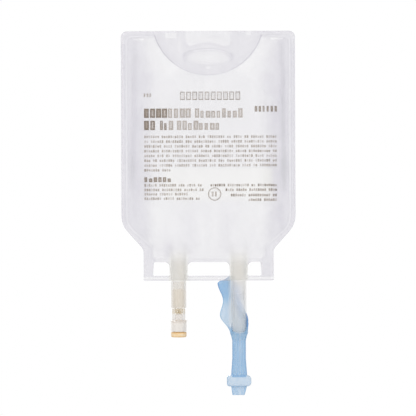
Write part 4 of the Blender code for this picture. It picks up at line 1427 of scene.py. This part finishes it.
def sheath_stem():
    """Socket and stem in one, with the socket's bore and its scooped front edge cut away."""
    tip, flared = administration_end, socket_radius + SOCKET_FLARE
    half_turned, turned_into = (tip - share * STEM_DROP for share in STEM_NECK)
    between = (socket_radius + STEM_HALF_WIDTH) / 2, (socket_radius + STEM_HALF_DEPTH) / 2
    sections = [
        (tip + SOCKET_HEIGHT, flared, flared, 0),
        (tip + FLARE_END, socket_radius, socket_radius, 0),
        (tip, socket_radius, socket_radius, 0),
        (half_turned, *between, 0.5),
        (turned_into, STEM_HALF_WIDTH, STEM_HALF_DEPTH, 1),
        (tip - STEM_WIDENS * STEM_DROP, STEM_HALF_WIDTH, STEM_HALF_DEPTH, 1),
        (grip_top - INTO_GRIP, STEM_HALF_WIDTH + STEM_SPREAD, STEM_HALF_DEPTH, 1),
    ]
    stem = working_object(skin("sheath_stem", [stem_loop(*section) for section in sections]))
    top = tip + 2 * SOCKET_HEIGHT
    bore = [
        circle(PORT_X, top, tube_radius_at(top) + SHEATH_GAP),
        circle(PORT_X, tip - SOCKET_FLOOR, tube_tip + SHEATH_GAP),
    ]
    side_view = [(-SCOOP_REACH, top), (-SCOOP_BACK, top)]
    for k in range(SCOOP_STEPS + 1):
        angle = math.pi / 2 * k / SCOOP_STEPS
        y = -SCOOP_BACK - (socket_radius - SCOOP_BACK) * (1 - math.cos(angle))
        rise = LIP_SIDE_HEIGHT - (LIP_SIDE_HEIGHT - LIP_HEIGHT) * math.sin(angle)
        side_view.append((y, tip + rise))
    side_view.append((-SCOOP_REACH, tip + LIP_HEIGHT))
    scoop = [[(PORT_X + side * SCOOP_REACH, y, z) for y, z in side_view] for side in (-1, 1)]
    cutters = [skin("socket_bore", bore), skin("front_scoop", scoop)]
    cutters = [working_object(cutter) for cutter in cutters]
    for cutter in cutters:
        cut = stem.modifiers.new(cutter.name, "BOOLEAN")
        cut.operation = "DIFFERENCE"
        cut.solver = "EXACT"
        cut.object = cutter
    mesh = settled(stem)
    for cutter in cutters:
        bpy.data.objects.remove(cutter)
    return mesh


def sheath_wing():
    """The wing between its inner and outer faces."""
    solid = bmesh.new()
    grids = []
    for outwards in (0, 1):
        grid = []
        for row in range(WING_ROWS):
            spots = [
                wing_point(column / (WING_COLUMNS - 1), row / (WING_ROWS - 1), outwards)
                for column in range(WING_COLUMNS)
            ]
            grid.append([solid.verts.new(spot) for spot in spots])
        grids.append(grid)
    inner, outer = grids
    strips = [pair for grid in grids for pair in zip(grid, grid[1:])]
    strips += [(inner[row], outer[row]) for row in (0, -1)]
    strips += [([row[c] for row in inner], [row[c] for row in outer]) for c in (0, -1)]
    for one, two in strips:
        for i in range(len(one) - 1):
            solid.faces.new((one[i], one[i + 1], two[i + 1], two[i]))
    return closed_mesh("sheath_wing", solid)


def sheath_grip():
    """Rounded bar across the stem, with bevelled long edges."""
    front = [(-GRIP_HALF_DEPTH + depth, inset) for depth, inset in GRIP_BEVEL]
    loops = []
    for y, inset in front + [(-y, inset) for y, inset in reversed(front)]:
        left, right = PORT_X - GRIP_HALF + inset, PORT_X + GRIP_HALF - inset
        corners = [
            (left, grip_top - inset, GRIP_ROUNDING),
            (right, grip_top - inset, 1.6 * GRIP_ROUNDING),
            (right, grip_low + inset, 1.6 * GRIP_ROUNDING),
            (left, grip_low + inset, GRIP_ROUNDING),
        ]
        loops.append([(p.x, y, p.y) for p in rounded(corners)])
    return skin("sheath_grip", loops)


def sheath_tail():
    """Flat tail below the grip, which narrows more at its right."""
    half_width = STEM_HALF_WIDTH + STEM_SPREAD
    corners = [
        (PORT_X - half_width, grip_low + INTO_GRIP, 0),
        (PORT_X + half_width, grip_low + INTO_GRIP, 0),
        (PORT_X + half_width - 2 * TAIL_TAPER, tail_end, TAIL_ROUNDING),
        (PORT_X - half_width + TAIL_TAPER, tail_end, TAIL_ROUNDING),
    ]
    outline_points = rounded(corners)
    depths = (-TAIL_HALF_DEPTH, TAIL_HALF_DEPTH)
    return skin("sheath_tail", [[(p.x, y, p.y) for p in outline_points] for y in depths])


def shaded_blue(mesh):
    """The blue at each point, from 0, nearly white, to 1, and how much a wall hides there.

    It is deep along the edges and pale at the grip, with painted shadow lines at the grip, painted
    highlights on the stem's ribs and the lip, and painted light beside the tube. The wing thins out
    behind the tube.
    """
    spots = np.empty(3 * len(mesh.vertices))
    mesh.vertices.foreach_get("co", spots)
    x, y, z = spots.reshape(-1, 3).T
    x = x - PORT_X
    up = z - administration_end
    shelf = np.round((z - z.min()) / SHELF).astype(int)
    left = np.full(shelf.max() + 1, 99.0)
    right = -left
    np.minimum.at(left, shelf, x)
    np.maximum.at(right, shelf, x)
    from_left, from_right = x - left[shelf], right[shelf] - x
    on_wing = rising(up, 1.5, 4.5)
    upper_wing = rising(up, 12, 21)
    painted_light_beside_tube = ridge(x + TUBE_RADIUS + 0.1, 1.1) * on_wing
    on_grip = 1.0 * ((z > grip_low) & (z < grip_top))
    grip_shadow_line = ridge(z - grip_top + 0.35, 0.38) * (np.abs(x) < STEM_HALF_WIDTH + 0.2)

    tone = STEM_BLUE + on_wing * (0.14 * upper_wing - 0.36 * (1 - upper_wing))
    tone += (1 - on_wing) * ridges(x, STEM_RIB_HIGHLIGHTS)
    tone += 0.36 * ridge(np.minimum(from_left, from_right), 0.5) * (1 - on_grip)
    tone += ridge(from_right, 1.5) * rising(up, -1, 1) * on_wing
    # Painted light beside the tube, where the wing turns away from the light: paler here and less
    # dense below
    tone -= 0.18 * painted_light_beside_tube
    tone -= 0.34 * rising(z, FOOT - 0.4, FOOT + 0.4)
    # Painted highlight on the front of the socket's lip
    tone -= 0.45 * ridge(up - 0.3, 0.5) * ridge(x - 0.3, 2.4) * (y < 0)
    tone += on_grip * (GRIP_BLUE - tone) + on_grip * 0.35 * ridge(from_left, 0.5)
    # Painted shadow lines where the stem runs into the grip and along the grip's foot
    tone += 0.75 * grip_shadow_line + 0.25 * ridge(z - grip_low - 0.1, 0.25)
    tone += rising(z, grip_low, grip_low - 0.6) * (0.08 * np.sin(2.4 * x + z) - 0.19)

    ends_behind_tube = on_wing * rising(right[shelf], TUBE_RADIUS + 1.2, TUBE_RADIUS - 0.8)
    fade = (0.72 + 0.23 * upper_wing) * ends_behind_tube * rising(from_right, 5.0, 0)
    painted(mesh, "blue", np.clip(tone, 0, 1))
    painted(mesh, "sheer", np.clip((1 - fade) * (1 - 0.4 * painted_light_beside_tube), 0, 1))


def sheath_mesh():
    """All the sheath's parts grown into one skin and smoothed."""
    whole = bmesh.new()
    for part in (sheath_stem(), sheath_wing(), sheath_grip(), sheath_tail()):
        whole.from_mesh(part)
    parts_together = bpy.data.meshes.new("protector")
    whole.to_mesh(parts_together)
    whole.free()
    piece = working_object(parts_together)
    merge = piece.modifiers.new("one_skin", "REMESH")
    merge.mode = "VOXEL"
    merge.voxel_size = VOXEL
    smooth = piece.modifiers.new("soft_edges", "SMOOTH")
    smooth.factor = 0.5
    smooth.iterations = 3
    mesh = settled(piece)
    shaded_blue(mesh)
    mesh.transform(Matrix.Scale(MM, 4))
    mesh.shade_smooth()
    return mesh


def blue_sheath():
    """Blue by the tone kept at each point, a little cloudy, and sheer where the wing is thin."""
    made, tree, grain = plastic(
        "blue_sheath", roughness=0.24, ior=1.5, clouds=2.4, grain=0.6, stretch=3.0, depth=0.004
    )
    cloudy = ranged(tree, grain["Clouds"], 0, 1, -0.09, 0.09)
    depth = wired(tree, "Math", {0: stored(tree, "blue"), 1: cloudy}, operation="ADD")
    ramp = wired(tree, "ValToRGB", {0: depth.outputs[0]})
    tones = ramp.color_ramp.elements
    tones[0].color = (*SHEATH_TONES[0], 1)
    tones[1].color = (*SHEATH_TONES[-1], 1)
    for k, tone in enumerate(SHEATH_TONES[1:-1], 1):
        tones.new(k / (len(SHEATH_TONES) - 1)).color = (*tone, 1)
    wall = ranged(tree, facing_away(tree, 0.4), 0.2, 1.0, 0.62, 0.88)
    alpha = product(tree, wall, stored(tree, "sheer"))
    return finished(made, {"Base Color": ramp.outputs[0], "Alpha": alpha})


dressed("protector", sheath_mesh(), "protector", "port_protector", blue_sheath())
